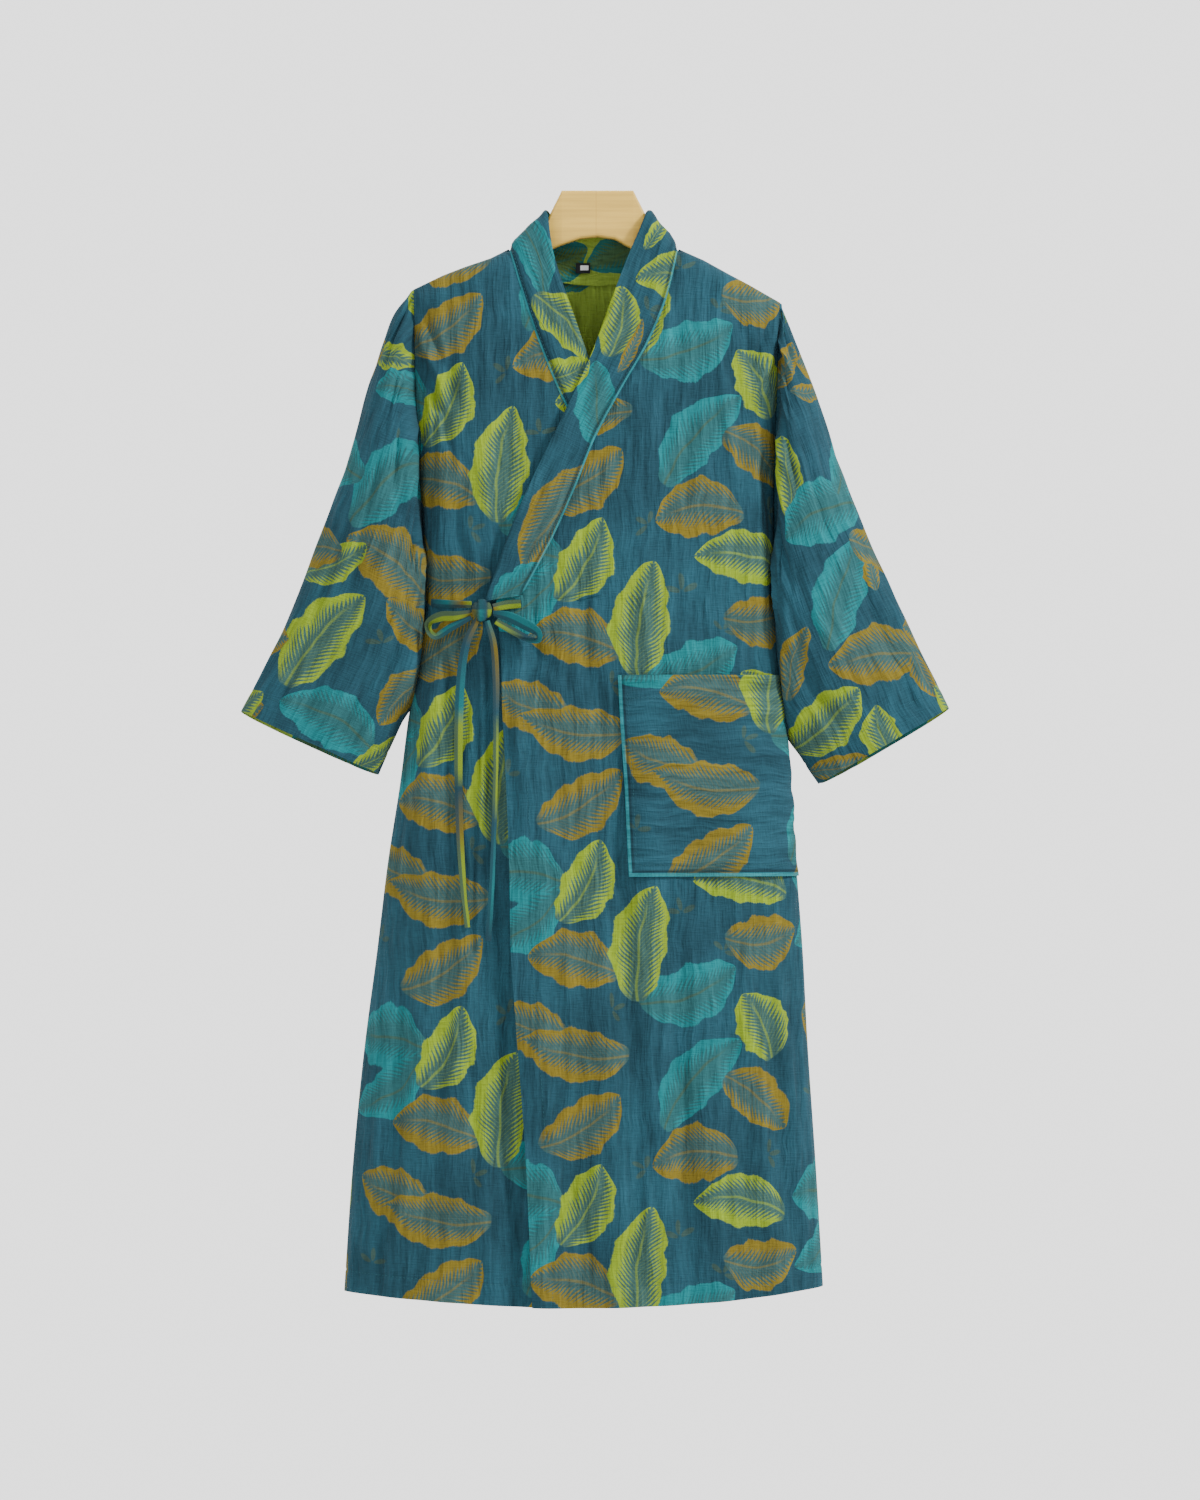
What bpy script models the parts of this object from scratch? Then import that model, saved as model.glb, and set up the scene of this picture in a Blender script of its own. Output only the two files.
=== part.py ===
# Kimono robe of crinkled double gauze, lapped left over right, tied in a bow at the waist
# and hung on a wide wooden hanger.
# Metres, +Z up, the front faces -Y, and the wearer's left is at +X.
# The origin is the middle of the hanger's flat top.
import math

import bpy
import bmesh
import numpy as np

for old in list(bpy.data.objects):
    bpy.data.objects.remove(old, do_unlink=True)

# Cloth thickness and the gaps between pieces
WALL = 0.0020
BAND_WALL = 0.0034
RIBBON_WALL = 0.0016
SEAM = 0.0003

# The under side lies this far behind the over side, from a start left of its edge, over a run
LAP = 0.0062
LAP_START = 0.050
LAP_RUN = 0.045
# The over side's free edge stands out below the tie: relief, half width, top, height of its growth
EDGE_LIFT = 0.0050
EDGE_LIFT_HALF = 0.030
EDGE_LIFT_TOP = -0.500
EDGE_LIFT_RUN = 0.200

# Roundness of the body's section, and of the cloth where it turns over the shoulder
SECTION_POWER = 2.6
SHOULDER_ROUND = 0.020
ARMHOLE_DEPTH = 0.021
ARMPIT_Z = -0.415
WAIST_Z = -0.440

# Body's side edges: height, half width at the wearer's right (-X), half width at the left (+X)
BODY_SIDES = np.array([
    (-0.104, 0.1920, 0.1910),
    (-0.220, 0.1900, 0.1870),
    (-0.325, 0.1840, 0.1840),
    (-0.410, 0.1800, 0.1850),
    (-0.472, 0.1840, 0.1890),
    (-0.556, 0.1980, 0.1960),
    (-0.619, 0.2060, 0.2020),
    (-0.703, 0.2190, 0.2075),
    (-0.797, 0.2305, 0.2145),
    (-0.892, 0.2430, 0.2195),
    (-1.018, 0.2557, 0.2280),
    (-1.168, 0.2660, 0.2370),
])

# Depth of the front and of the back from the side seams: height, front, back
BODY_DEPTHS = np.array([
    (0.000, 0.018, 0.018),
    (-0.060, 0.020, 0.020),
    (-0.100, 0.026, 0.024),
    (-0.200, 0.036, 0.034),
    (-0.320, 0.046, 0.042),
    (-0.420, 0.051, 0.046),
    (-0.550, 0.055, 0.050),
    (-0.800, 0.060, 0.054),
    (-1.168, 0.062, 0.056),
])

# Shoulder line from tip to tip, over the neck: x, z
SHOULDER = np.array([
    (-0.192, -0.1040),
    (-0.162, -0.0895),
    (-0.140, -0.0810),
    (-0.112, -0.0715),
    (-0.093, -0.0620),
    (-0.0525, -0.0220),
    (0.0525, -0.0220),
    (0.085, -0.0620),
    (0.111, -0.0735),
    (0.140, -0.0895),
    (0.158, -0.0990),
    (0.191, -0.1180),
])

# Hem line: x, z
HEM = np.array([
    (-0.266, -1.1540),
    (-0.170, -1.1620),
    (-0.070, -1.1680),
    (0.050, -1.1670),
    (0.150, -1.1600),
    (0.237, -1.1490),
])

# Soft vertical folds: x at the waist, x at the hem, height where it starts, half width, relief
FRONT_FOLDS = np.array([
    (-0.160, -0.212, -0.44, 0.020, 0.0050),
    (-0.132, -0.160, -0.62, 0.017, 0.0040),
    (-0.062, -0.052, -0.46, 0.018, 0.0045),
    (-0.015, 0.022, -0.66, 0.020, 0.0050),
    (0.045, 0.075, -0.42, 0.017, 0.0035),
    (0.092, 0.130, -0.74, 0.022, 0.0055),
    (0.140, 0.186, -0.60, 0.018, 0.0045),
])
BACK_FOLDS = np.array([
    (-0.140, -0.205, -0.36, 0.022, 0.0060),
    (-0.096, -0.132, -0.52, 0.019, 0.0050),
    (-0.040, -0.058, -0.40, 0.022, 0.0065),
    (0.016, 0.020, -0.60, 0.018, 0.0045),
    (0.060, 0.086, -0.38, 0.021, 0.0060),
    (0.104, 0.140, -0.56, 0.019, 0.0050),
    (0.140, 0.192, -0.44, 0.020, 0.0055),
])
FOLD_FADE = 0.30

# Over panel's front edge: the neckband's seam down to the tie, then the free edge: z, x
OVER_EDGE = np.array([
    (-0.062, 0.0850),
    (-0.123, 0.0688),
    (-0.166, 0.0499),
    (-0.204, 0.0278),
    (-0.270, -0.0068),
    (-0.304, -0.0200),
    (-0.367, -0.0480),
    (-0.423, -0.0777),
])
OVER_FREE = np.array([
    (-0.430, -0.1060),
    (-0.472, -0.1020),
    (-0.548, -0.0992),
    (-0.629, -0.0950),
    (-0.709, -0.0919),
    (-0.806, -0.0898),
    (-0.866, -0.0856),
    (-1.005, -0.0751),
    (-1.168, -0.0677),
])
# Under panel's front edge, most of it hidden by the over panel: z, x
UNDER_EDGE = np.array([
    (-0.062, -0.0930),
    (-0.165, -0.0593),
    (-0.222, -0.0352),
    (-0.290, 0.0010),
    (-0.367, 0.0420),
    (-0.423, 0.0720),
])
UNDER_FREE = np.array([
    (-0.430, 0.0980),
    (-0.709, 0.0880),
    (-1.168, 0.0640),
])

# Neckbands' free edges on the front: z, x of the over band, x of the under band
BAND_FREE = np.array([
    (-0.022, 0.0525, -0.0525),
    (-0.062, 0.0352, -0.0470),
    (-0.120, 0.0130, -0.0290),
    (-0.178, -0.0085, -0.0080),
    (-0.270, -0.0520, 0.0420),
    (-0.325, -0.0780, 0.0680),
    (-0.430, -0.1170, 0.1090),
])
# Height on the seam, and the height on the free edge straight across from it
BAND_ACROSS = np.array([
    (-0.062, -0.022),
    (-0.085, -0.054),
    (-0.123, -0.100),
    (-0.166, -0.147),
    (-0.204, -0.187),
    (-0.270, -0.253),
    (-0.367, -0.350),
    (-0.423, -0.4285),
])
# Back neck: share of the way from the side to the middle, seam z, free edge z
BACK_NECK = np.array([
    (0.00, -0.062, -0.022),
    (0.15, -0.076, -0.030),
    (0.40, -0.089, -0.037),
    (0.70, -0.096, -0.041),
    (1.00, -0.098, -0.042),
])
NECK_SIDE = {-1: 0.0930, 1: 0.0850}
BAND_TOP_SIDE = 0.0525

# Rows of the panels, as drops below the neck point, and columns as shares of the width
OVER_DROPS = (0.0, 0.003, 0.010, 0.022, 0.045, 0.080, 0.120, 0.160, 0.200, 0.240, 0.280, 0.320,
              0.361, 0.368, 0.405, 0.4454, 0.500, 0.555, 0.610, 0.6606, 0.720, 0.780, 0.850,
              0.920, 0.990, 1.050, 1.106)
UNDER_DROPS = (0.0, 0.003, 0.010, 0.022, 0.045, 0.080, 0.120, 0.160, 0.210, 0.260, 0.310, 0.361,
               0.368, 0.430, 0.500, 0.570, 0.640, 0.710, 0.780, 0.850, 0.920, 0.990, 1.050, 1.106)
BACK_DROPS = (0.0, 0.003, 0.010, 0.022, 0.045, 0.080, 0.130, 0.190, 0.250, 0.310, 0.353, 0.410,
              0.480, 0.550, 0.620, 0.690, 0.760, 0.830, 0.900, 0.970, 1.040, 1.106)
OVER_COLUMNS = (0.0, 0.006, 0.022, 0.055, 0.10, 0.155, 0.21, 0.265, 0.32, 0.375, 0.43, 0.485,
                0.54, 0.587, 0.64, 0.70, 0.76, 0.82, 0.88, 0.94, 1.0)
UNDER_COLUMNS = (0.0, 0.006, 0.022, 0.055, 0.11, 0.17, 0.23, 0.29, 0.35, 0.42, 0.50, 0.58, 0.66,
                 0.75, 0.84, 0.92, 1.0)
# Back panel's columns: shares from the shoulder tip to the neck, then to the middle
BACK_SHOULDER_STEPS = (0.0, 0.02, 0.10, 0.30, 0.52, 0.76, 1.0)
BACK_NECK_STEPS = (0.05, 0.15, 0.40, 0.70, 1.0)
# Sideways part of the back's normal along the shoulder seam
SHOULDER_LEAN = 0.55
# Heights over which rows leave the shoulder line's slope, and columns its spacing
TOP_FADE = 0.30
TOP_RAMP = 0.06
# Neckband's points across, and how its top end narrows towards the middle of the back
BAND_SHARES = np.array([0.0, 0.34, 0.67, 1.0])
BAND_TOP_POWER = 0.8

# Pocket on the over panel: first and last row, last column, bulge at the mouth
POCKET_ROWS = (15, 19)
POCKET_COLUMNS = (1, 13)
POCKET_BULGE = 0.0085
POCKET_BULGE_POWER = 0.8

# Sleeves: share of the length, outer edge x, z, lower edge x, z, for each side
SLEEVE_RIGHT = np.array([
    (0.00, -0.1936, -0.104, -0.1816, -0.415),
    (0.06, -0.2110, -0.128, -0.1845, -0.432),
    (0.20, -0.2350, -0.195, -0.1870, -0.466),
    (0.40, -0.2620, -0.285, -0.1930, -0.508),
    (0.60, -0.2920, -0.370, -0.2015, -0.544),
    (0.80, -0.3290, -0.459, -0.2180, -0.583),
    (1.00, -0.3722, -0.547, -0.2305, -0.6115),
])
SLEEVE_LEFT = np.array([
    (0.00, 0.1926, -0.118, 0.1868, -0.415),
    (0.06, 0.1970, -0.134, 0.1892, -0.434),
    (0.20, 0.2220, -0.199, 0.1922, -0.472),
    (0.40, 0.2520, -0.283, 0.1968, -0.522),
    (0.60, 0.2860, -0.367, 0.2030, -0.562),
    (0.80, 0.3250, -0.455, 0.2150, -0.594),
    (1.00, 0.3680, -0.543, 0.2336, -0.6215),
])
# Half depth and section power along a sleeve: share of the length, half depth, power
SLEEVE_SECTION = np.array([
    (0.00, 0.021, 2.00),
    (0.06, 0.038, 2.05),
    (0.20, 0.047, 2.20),
    (0.50, 0.043, 2.30),
    (0.80, 0.036, 2.30),
    (1.00, 0.030, 2.20),
])
# Long sleeve folds: angle from the outer edge, start and end of the length, half angle, relief
SLEEVE_FOLDS = np.array([
    (62.0, -0.10, 0.75, 14.0, 0.0045),
    (100.0, 0.30, 1.10, 15.0, 0.0050),
    (136.0, -0.10, 0.70, 13.0, 0.0040),
    (236.0, 0.10, 1.10, 15.0, 0.0050),
    (290.0, -0.05, 0.80, 15.0, 0.0045),
])
SLEEVE_FADE = 0.25
SLEEVE_START_FADE = 0.12
SLEEVE_RINGS = 12
SLEEVE_POINTS = 20
SLEEVE_SPACING = 1.25

# Hanger: x, top z, bottom z, half depth, share of the half depth that is flat on top
HANGER = np.array([
    (-0.1740, -0.1030, -0.1160, 0.0040, 0.30),
    (-0.1680, -0.0975, -0.1210, 0.0065, 0.30),
    (-0.1540, -0.0888, -0.1190, 0.0090, 0.28),
    (-0.1400, -0.0834, -0.1160, 0.0105, 0.28),
    (-0.1120, -0.0740, -0.1050, 0.0110, 0.28),
    (-0.0930, -0.0678, -0.0950, 0.0100, 0.28),
    (-0.0700, -0.0462, -0.0790, 0.0090, 0.30),
    (-0.0520, -0.0290, -0.0640, 0.0090, 0.35),
    (-0.0485, -0.0215, -0.0620, 0.0092, 0.40),
    (-0.0375, 0.0000, -0.0570, 0.0105, 0.62),
    (-0.0180, 0.0000, -0.0505, 0.0105, 0.62),
    (0.0000, 0.0000, -0.0485, 0.0105, 0.62),
    (0.0180, 0.0000, -0.0510, 0.0105, 0.62),
    (0.0375, 0.0000, -0.0620, 0.0105, 0.62),
    (0.0485, -0.0215, -0.0660, 0.0092, 0.40),
    (0.0520, -0.0290, -0.0680, 0.0090, 0.35),
    (0.0680, -0.0482, -0.0790, 0.0090, 0.30),
    (0.0850, -0.0678, -0.0920, 0.0100, 0.28),
    (0.1110, -0.0760, -0.1060, 0.0110, 0.28),
    (0.1400, -0.0920, -0.1190, 0.0105, 0.28),
    (0.1540, -0.0995, -0.1250, 0.0090, 0.28),
    (0.1680, -0.1085, -0.1290, 0.0065, 0.30),
    (0.1740, -0.1160, -0.1260, 0.0040, 0.30),
])
HANGER_CORNER_STEPS = 3

# Ties. Each station: x, z, distance in front of the cloth it hangs before, width,
# turn of the ribbon's width out of the cloth's plane in degrees
KNOT_CENTRE = (-0.1205, -0.4410)
KNOT_HALF = (0.0120, 0.0068, 0.0120)
KNOT_STAND = 0.0095
KNOT_SQUEEZE = 0.18
KNOT_SQUEEZE_HALF = 0.35
KNOT_SEGMENTS = 14
KNOT_RINGS = 8
LEAD_OVER = np.array([
    (-0.0800, -0.4345, 0.0024, 0.0100, 0.0),
    (-0.0940, -0.4355, 0.0028, 0.0110, 0.0),
    (-0.1088, -0.4385, 0.0093, 0.0090, 0.0),
])
LEAD_UNDER = np.array([
    (-0.1740, -0.4330, 0.0026, 0.0100, 0.0),
    (-0.1560, -0.4345, 0.0036, 0.0100, 0.0),
    (-0.1316, -0.4352, 0.0125, 0.0080, 0.0),
])
LOOP_RIGHT_WEARER = np.array([
    (-0.1324, -0.4440, 0.0140, 0.0070, 35.0),
    (-0.1480, -0.4470, 0.0185, 0.0130, 35.0),
    (-0.1640, -0.4480, 0.0205, 0.0140, 35.0),
    (-0.1755, -0.4540, 0.0205, 0.0140, 50.0),
    (-0.1760, -0.4625, 0.0180, 0.0130, 55.0),
    (-0.1680, -0.4680, 0.0140, 0.0120, 45.0),
    (-0.1520, -0.4585, 0.0125, 0.0110, 35.0),
    (-0.1318, -0.4487, 0.0150, 0.0055, 30.0),
])
LOOP_LEFT_WEARER = np.array([
    (-0.1088, -0.4445, 0.0100, 0.0070, -20.0),
    (-0.0930, -0.4480, 0.0160, 0.0130, -25.0),
    (-0.0760, -0.4560, 0.0185, 0.0150, -30.0),
    (-0.0630, -0.4640, 0.0185, 0.0150, -50.0),
    (-0.0620, -0.4720, 0.0150, 0.0130, -60.0),
    (-0.0710, -0.4720, 0.0110, 0.0120, -50.0),
    (-0.0860, -0.4640, 0.0075, 0.0110, -35.0),
    (-0.1060, -0.4530, 0.0065, 0.0070, -20.0),
])
TAIL_RIGHT_WEARER = np.array([
    (-0.1262, -0.4522, 0.0138, 0.0090, 0.0),
    (-0.1370, -0.4760, 0.0075, 0.0120, 5.0),
    (-0.1425, -0.5100, 0.0050, 0.0130, 5.0),
    (-0.1448, -0.5600, 0.0042, 0.0130, 0.0),
    (-0.1450, -0.6200, 0.0042, 0.0120, 0.0),
    (-0.1432, -0.6800, 0.0042, 0.0110, 10.0),
    (-0.1395, -0.7350, 0.0047, 0.0100, 35.0),
    (-0.1352, -0.7720, 0.0047, 0.0090, 35.0),
])
TAIL_LEFT_WEARER = np.array([
    (-0.1150, -0.4522, 0.0095, 0.0080, 0.0),
    (-0.1085, -0.4760, 0.0060, 0.0100, -5.0),
    (-0.1060, -0.5100, 0.0048, 0.0100, 0.0),
    (-0.1058, -0.5600, 0.0046, 0.0090, 30.0),
    (-0.1062, -0.6200, 0.0046, 0.0090, 40.0),
    (-0.1085, -0.6900, 0.0046, 0.0090, 40.0),
    (-0.1110, -0.7450, 0.0048, 0.0090, 30.0),
    (-0.1138, -0.7860, 0.0048, 0.0090, 20.0),
])
RIBBON_STEPS = 3

# Size label inside the back neckband: middle x and z, width, height, thickness
LABEL = (-0.0152, -0.0800, 0.0160, 0.0125, 0.0008)

# Colours and roughness
CLOTH_ROUGHNESS = 0.85
WOOD_ROUGHNESS = 0.45
LABEL_ROUGHNESS = 0.6
SMOOTH_ANGLE = math.radians(40)
TEAL = (0.042, 0.135, 0.175)
TEAL_DEEP = (0.035, 0.115, 0.150)
LIME = (0.250, 0.330, 0.110)
WOOD = (0.640, 0.500, 0.300)
LABEL_BLACK = (0.020, 0.022, 0.025)


def curve(table, at, column=1):
    """Smooth value of a table's column at a height or share, by cubic pieces."""
    order = np.argsort(table[:, 0])
    knots = table[order, 0]
    values = table[order, column]
    slopes = np.gradient(values, knots)
    at = np.clip(at, knots[0], knots[-1])
    k = np.clip(np.searchsorted(knots, at) - 1, 0, len(knots) - 2)
    span = knots[k + 1] - knots[k]
    t = (at - knots[k]) / span
    low = (1 + 2 * t) * (1 - t) ** 2 * values[k] + t * (1 - t) ** 2 * span * slopes[k]
    high = t * t * (3 - 2 * t) * values[k + 1] - t * t * (1 - t) * span * slopes[k + 1]
    return low + high


def straight(table, at, column=1):
    """Value of a table's column at a height or share, by straight pieces."""
    order = np.argsort(table[:, 0])
    return np.interp(at, table[order, 0], table[order, column])


def step(value):
    """Smooth step from 0 to 1."""
    t = np.clip(value, 0.0, 1.0)
    return t * t * (3 - 2 * t)


def half_width(z, side):
    """Distance of the body's side seam from the middle; side is -1 or 1."""
    return curve(BODY_SIDES, z, 1 if side < 0 else 2)


def armhole(z, side):
    """Half depth of the armhole at a height, an ellipse from shoulder tip to armpit."""
    tip = SHOULDER[0, 1] if side < 0 else SHOULDER[-1, 1]
    middle = (tip + ARMPIT_Z) / 2
    reach = (tip - ARMPIT_Z) / 2
    return ARMHOLE_DEPTH * math.sqrt(max(0.0, 1 - ((z - middle) / reach) ** 2))


def folds(table, x, z):
    """Relief of the vertical folds at a point."""
    share = (WAIST_Z - z) / (WAIST_Z - HEM[2, 1])
    total = 0.0
    for x_waist, x_hem, start, half, relief in table:
        middle = x_waist + (x_hem - x_waist) * share
        total += relief * math.exp(-((x - middle) / half) ** 2) * step((start - z) / FOLD_FADE)
    return total


def body_depth(x, z, front):
    """Distance of the cloth's middle layer from the side seams' plane."""
    side = -1 if x < 0 else 1
    q = min(abs(x) / half_width(z, side), 1.0)
    across = (1 - q ** SECTION_POWER) ** (1 / SECTION_POWER)
    drop = min(max((straight(SHOULDER, x) - z) / SHOULDER_ROUND, 0.0), 1.0)
    rise = math.sqrt(1 - (1 - drop) ** 2)
    edge = armhole(z, side)
    full = curve(BODY_DEPTHS, z, 1 if front else 2) * rise
    relief = folds(FRONT_FOLDS if front else BACK_FOLDS, x, z)
    return edge + (max(full - edge, 0.0) + relief) * across


def over_reach(z):
    """x of the over side's leftmost edge at a height."""
    if z > OVER_FREE[0, 0]:
        return curve(BAND_FREE, z, 1)
    return curve(OVER_FREE, z)


def lap(x, z):
    """How far the under side lies behind the over side."""
    return LAP * step((x - over_reach(z) + LAP_START) / LAP_RUN)


def edge_lift(x, z):
    """How far the over side stands out near its free edge."""
    near = math.exp(-((x - over_reach(z)) / EDGE_LIFT_HALF) ** 2)
    return EDGE_LIFT * near * step((EDGE_LIFT_TOP - z) / EDGE_LIFT_RUN)


def front_point(x, z, under=False):
    y = -SEAM / 2 - body_depth(x, z, True)
    if under:
        y += lap(x, z)
    else:
        y -= edge_lift(x, z)
    return (x, y, z)


def back_point(x, z):
    return (x, SEAM / 2 + body_depth(x, z, False), z)


def unit(vectors):
    return vectors / np.maximum(np.linalg.norm(vectors, axis=-1, keepdims=True), 1e-12)


def normals(grid, ring):
    """Unit normals of a grid of points; a ring closes in its second direction."""
    along = np.gradient(grid, axis=0)
    if ring:
        across = np.roll(grid, -1, axis=1) - np.roll(grid, 1, axis=1)
    else:
        across = np.gradient(grid, axis=1)
    return unit(np.cross(along, across))


def make_object(name, vertices, faces, colour, roughness):
    """One closed solid as an object with its own material."""
    mesh = bpy.data.meshes.new(name)
    mesh.from_pydata([tuple(map(float, v)) for v in vertices], [], faces)
    work = bmesh.new()
    work.from_mesh(mesh)
    bmesh.ops.triangulate(work, faces=work.faces)
    bmesh.ops.recalc_face_normals(work, faces=work.faces)
    if work.calc_volume(signed=True) < 0:
        bmesh.ops.reverse_faces(work, faces=work.faces)
    work.to_mesh(mesh)
    work.free()
    mesh.shade_smooth()
    mesh.set_sharp_from_angle(angle=SMOOTH_ANGLE)
    thing = bpy.data.objects.new(name, mesh)
    bpy.context.scene.collection.objects.link(thing)
    material = bpy.data.materials.new(name)
    material.use_nodes = True
    shader = material.node_tree.nodes["Principled BSDF"]
    shader.inputs["Base Color"].default_value = (*colour, 1)
    shader.inputs["Roughness"].default_value = roughness
    shader.inputs["Metallic"].default_value = 0.0
    mesh.materials.append(material)
    return thing


def wall(name, grid, normal, thickness, colour, roughness=CLOTH_ROUGHNESS, ring=False):
    """Cloth wall: the grid's points moved half the thickness to each side, closed at its edges."""
    rows, columns = grid.shape[:2]
    outer = (grid + normal * thickness / 2).reshape(-1, 3)
    inner = (grid - normal * thickness / 2).reshape(-1, 3)
    vertices = np.vstack([outer, inner])
    shift = rows * columns

    def at(i, j):
        return i * columns + j % columns

    faces = []
    spans = columns if ring else columns - 1
    for i in range(rows - 1):
        for j in range(spans):
            quad = (at(i, j), at(i, j + 1), at(i + 1, j + 1), at(i + 1, j))
            faces.append(quad)
            faces.append(tuple(shift + k for k in reversed(quad)))
    for j in range(spans):
        for i in (0, rows - 1):
            pair = (at(i, j), at(i, j + 1))
            faces.append((pair[0], pair[1], shift + pair[1], shift + pair[0]))
    if not ring:
        for i in range(rows - 1):
            for j in (0, columns - 1):
                pair = (at(i, j), at(i + 1, j))
                faces.append((pair[0], pair[1], shift + pair[1], shift + pair[0]))
    return make_object(name, vertices, faces, colour, roughness)


def panel_heights(top_z, neck_z, drops, hem_z):
    """Heights down one column: level rows that bend to the shoulder line and to the hem."""
    drops = np.array(drops)
    level = neck_z - drops
    last = neck_z - drops[-1]
    fade_top = 1 - step(drops / TOP_FADE)
    fade_hem = step((drops - drops[-1] + TOP_FADE) / TOP_FADE)
    return level + (top_z - neck_z) * fade_top + (hem_z - last) * fade_hem


def front_panel(side, edge_tables, drops, columns, under):
    """Grid of a front panel, from its side seam to its front edge; side is its side seam's."""
    seam_table, free_table = edge_tables
    neck_z, neck_x = seam_table[0]
    tip_x = SHOULDER[0 if side < 0 else -1, 0]
    grid = np.zeros((len(drops), len(columns), 3))

    def front_edge(z):
        if z > seam_table[-1, 0] - 0.002:
            return curve(seam_table, z)
        return curve(free_table, z)

    level_edge = [front_edge(neck_z - drop) for drop in drops]
    for j, share in enumerate(columns):
        top_x = tip_x + (neck_x - tip_x) * share
        top_z = straight(SHOULDER, top_x)
        hem_x = side * half_width(HEM[2, 1], side) * (1 - share) + level_edge[-1] * share
        heights = panel_heights(top_z, neck_z, drops, curve(HEM, hem_x))
        for i, z in enumerate(heights):
            x = side * half_width(z, side) * (1 - share) + level_edge[i] * share
            start = side * half_width(heights[0], side) * (1 - share) + level_edge[0] * share
            x += (top_x - start) * (1 - step(drops[i] / TOP_RAMP))
            grid[i, j] = front_point(x, z, under)
        grid[0, j] = (top_x, -SEAM / 2, top_z)
    return grid


def front_normals(grid, side):
    """Normals that lie in the shoulder seam's and the side seam's planes at those edges."""
    normal = normals(grid, False)
    if normal[len(grid) // 2, grid.shape[1] // 2, 1] > 0:
        normal = -normal
    line = grid[0, -1] - grid[0, 0]
    across = np.array([-line[2], 0.0, line[0]])
    across *= np.sign(across[2])
    normal[0, :] = across
    normal[1:, 0] = (side, 0.0, 0.0)
    normal[0, 0] = unit(across + np.array([side * np.linalg.norm(across), 0.0, 0.0]))
    return unit(normal)


def back_panel():
    """Grid of the back panel, from the wearer's right side seam to the left one."""
    neck_z = SHOULDER[4, 1]
    columns = []
    for side in (-1, 1):
        tip_x = SHOULDER[0 if side < 0 else -1, 0]
        neck_x = side * NECK_SIDE[side]
        tops = []
        for share in BACK_SHOULDER_STEPS:
            x = tip_x + (neck_x - tip_x) * share
            tops.append((x, straight(SHOULDER, x), True))
        for share in BACK_NECK_STEPS:
            tops.append((neck_x * (1 - share), curve(BACK_NECK, share), False))
        columns.append(tops)
    tops = columns[0] + columns[1][-2::-1]
    grid = np.zeros((len(BACK_DROPS), len(tops), 3))
    for j, (top_x, top_z, seam) in enumerate(tops):
        side = -1 if top_x < 0 else 1
        share = abs(top_x / SHOULDER[0 if side < 0 else -1, 0])
        hem_x = side * half_width(HEM[2, 1], side) * share
        heights = panel_heights(top_z, neck_z, BACK_DROPS, curve(HEM, hem_x))
        for i, z in enumerate(heights):
            x = side * half_width(z, side) * share
            start = side * half_width(heights[0], side) * share
            x += (top_x - start) * (1 - step(BACK_DROPS[i] / TOP_RAMP))
            grid[i, j] = back_point(x, z)
        if seam:
            grid[0, j] = (top_x, SEAM / 2, top_z)
    return grid


def back_normals(grid):
    normal = normals(grid, False)
    if normal[len(grid) // 2, grid.shape[1] // 2, 1] < 0:
        normal = -normal
    for j in range(grid.shape[1]):
        if abs(grid[0, j, 1]) < SEAM:
            normal[0, j] = (SHOULDER_LEAN * np.sign(grid[0, j, 0]), 0.0, 1.0)
    normal[1:, 0] = (-1.0, 0.0, 0.0)
    normal[1:, -1] = (1.0, 0.0, 0.0)
    normal[0, 0] = unit(unit(normal[0, 0]) + np.array([-1.0, 0.0, 0.0]))
    normal[0, -1] = unit(unit(normal[0, -1]) + np.array([1.0, 0.0, 0.0]))
    return unit(normal)


def band_grid(side, panel, panel_normal, back, back_normal, free_column, under):
    """Grid of a neckband from the middle of the back, over the side of the neck, to the tie."""
    stations = []
    middle = int(np.argmin(np.abs(back[0, :, 0])))
    corner = int(np.argmin(np.abs(back[0, :, 0] - side * NECK_SIDE[side])))
    order = range(middle, corner, 1 if corner > middle else -1)
    for j in order:
        seam = back[0, j]
        share = 1 - abs(seam[0]) / NECK_SIDE[side]
        free_x = side * BAND_TOP_SIDE * (1 - share) ** BAND_TOP_POWER
        free_z = curve(BACK_NECK, share, 2)
        stations.append((seam, back_normal[0, j], free_x, free_z, "back"))
    last = int(np.argmin(np.abs(panel[:, -1, 2] - OVER_EDGE[-1, 0])))
    for i in range(last + 1):
        seam = panel[i, -1].copy()
        if i == 0:
            seam[1] = 0.0
        free_z = curve(BAND_ACROSS, seam[2])
        free_x = curve(BAND_FREE, free_z, free_column)
        stations.append((seam, panel_normal[i, -1], free_x, free_z, "side" if i == 0 else "front"))
    grid = np.zeros((len(stations), len(BAND_SHARES), 3))
    first_normals = np.zeros((len(stations), 3))
    for i, (seam, normal, free_x, free_z, where) in enumerate(stations):
        first_normals[i] = normal
        for j, share in enumerate(BAND_SHARES):
            x = seam[0] + (free_x - seam[0]) * share
            z = seam[2] + (free_z - seam[2]) * share
            if where == "back":
                grid[i, j] = back_point(x, z)
            elif where == "side":
                grid[i, j] = (x, 0.0, z)
            else:
                grid[i, j] = front_point(x, z, under)
        if where != "side":
            grid[i, 0] = seam
        grid[i, 0] += unit(grid[i, 1] - grid[i, 0]) * SEAM * 1.5
    # The two halves meet at the middle of the back
    grid[0, :, 0] += side * SEAM / 2
    # The lower end stays clear of the panel's step below it
    grid[-1, 0, 2] += SEAM
    return grid, first_normals


def band_normals(grid, first):
    normal = normals(grid, False)
    if normal[-3, 1, 1] > 0:
        normal = -normal
    normal[:, 0] = first
    normal[0, :, 0] = 0.0
    return unit(normal)


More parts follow.
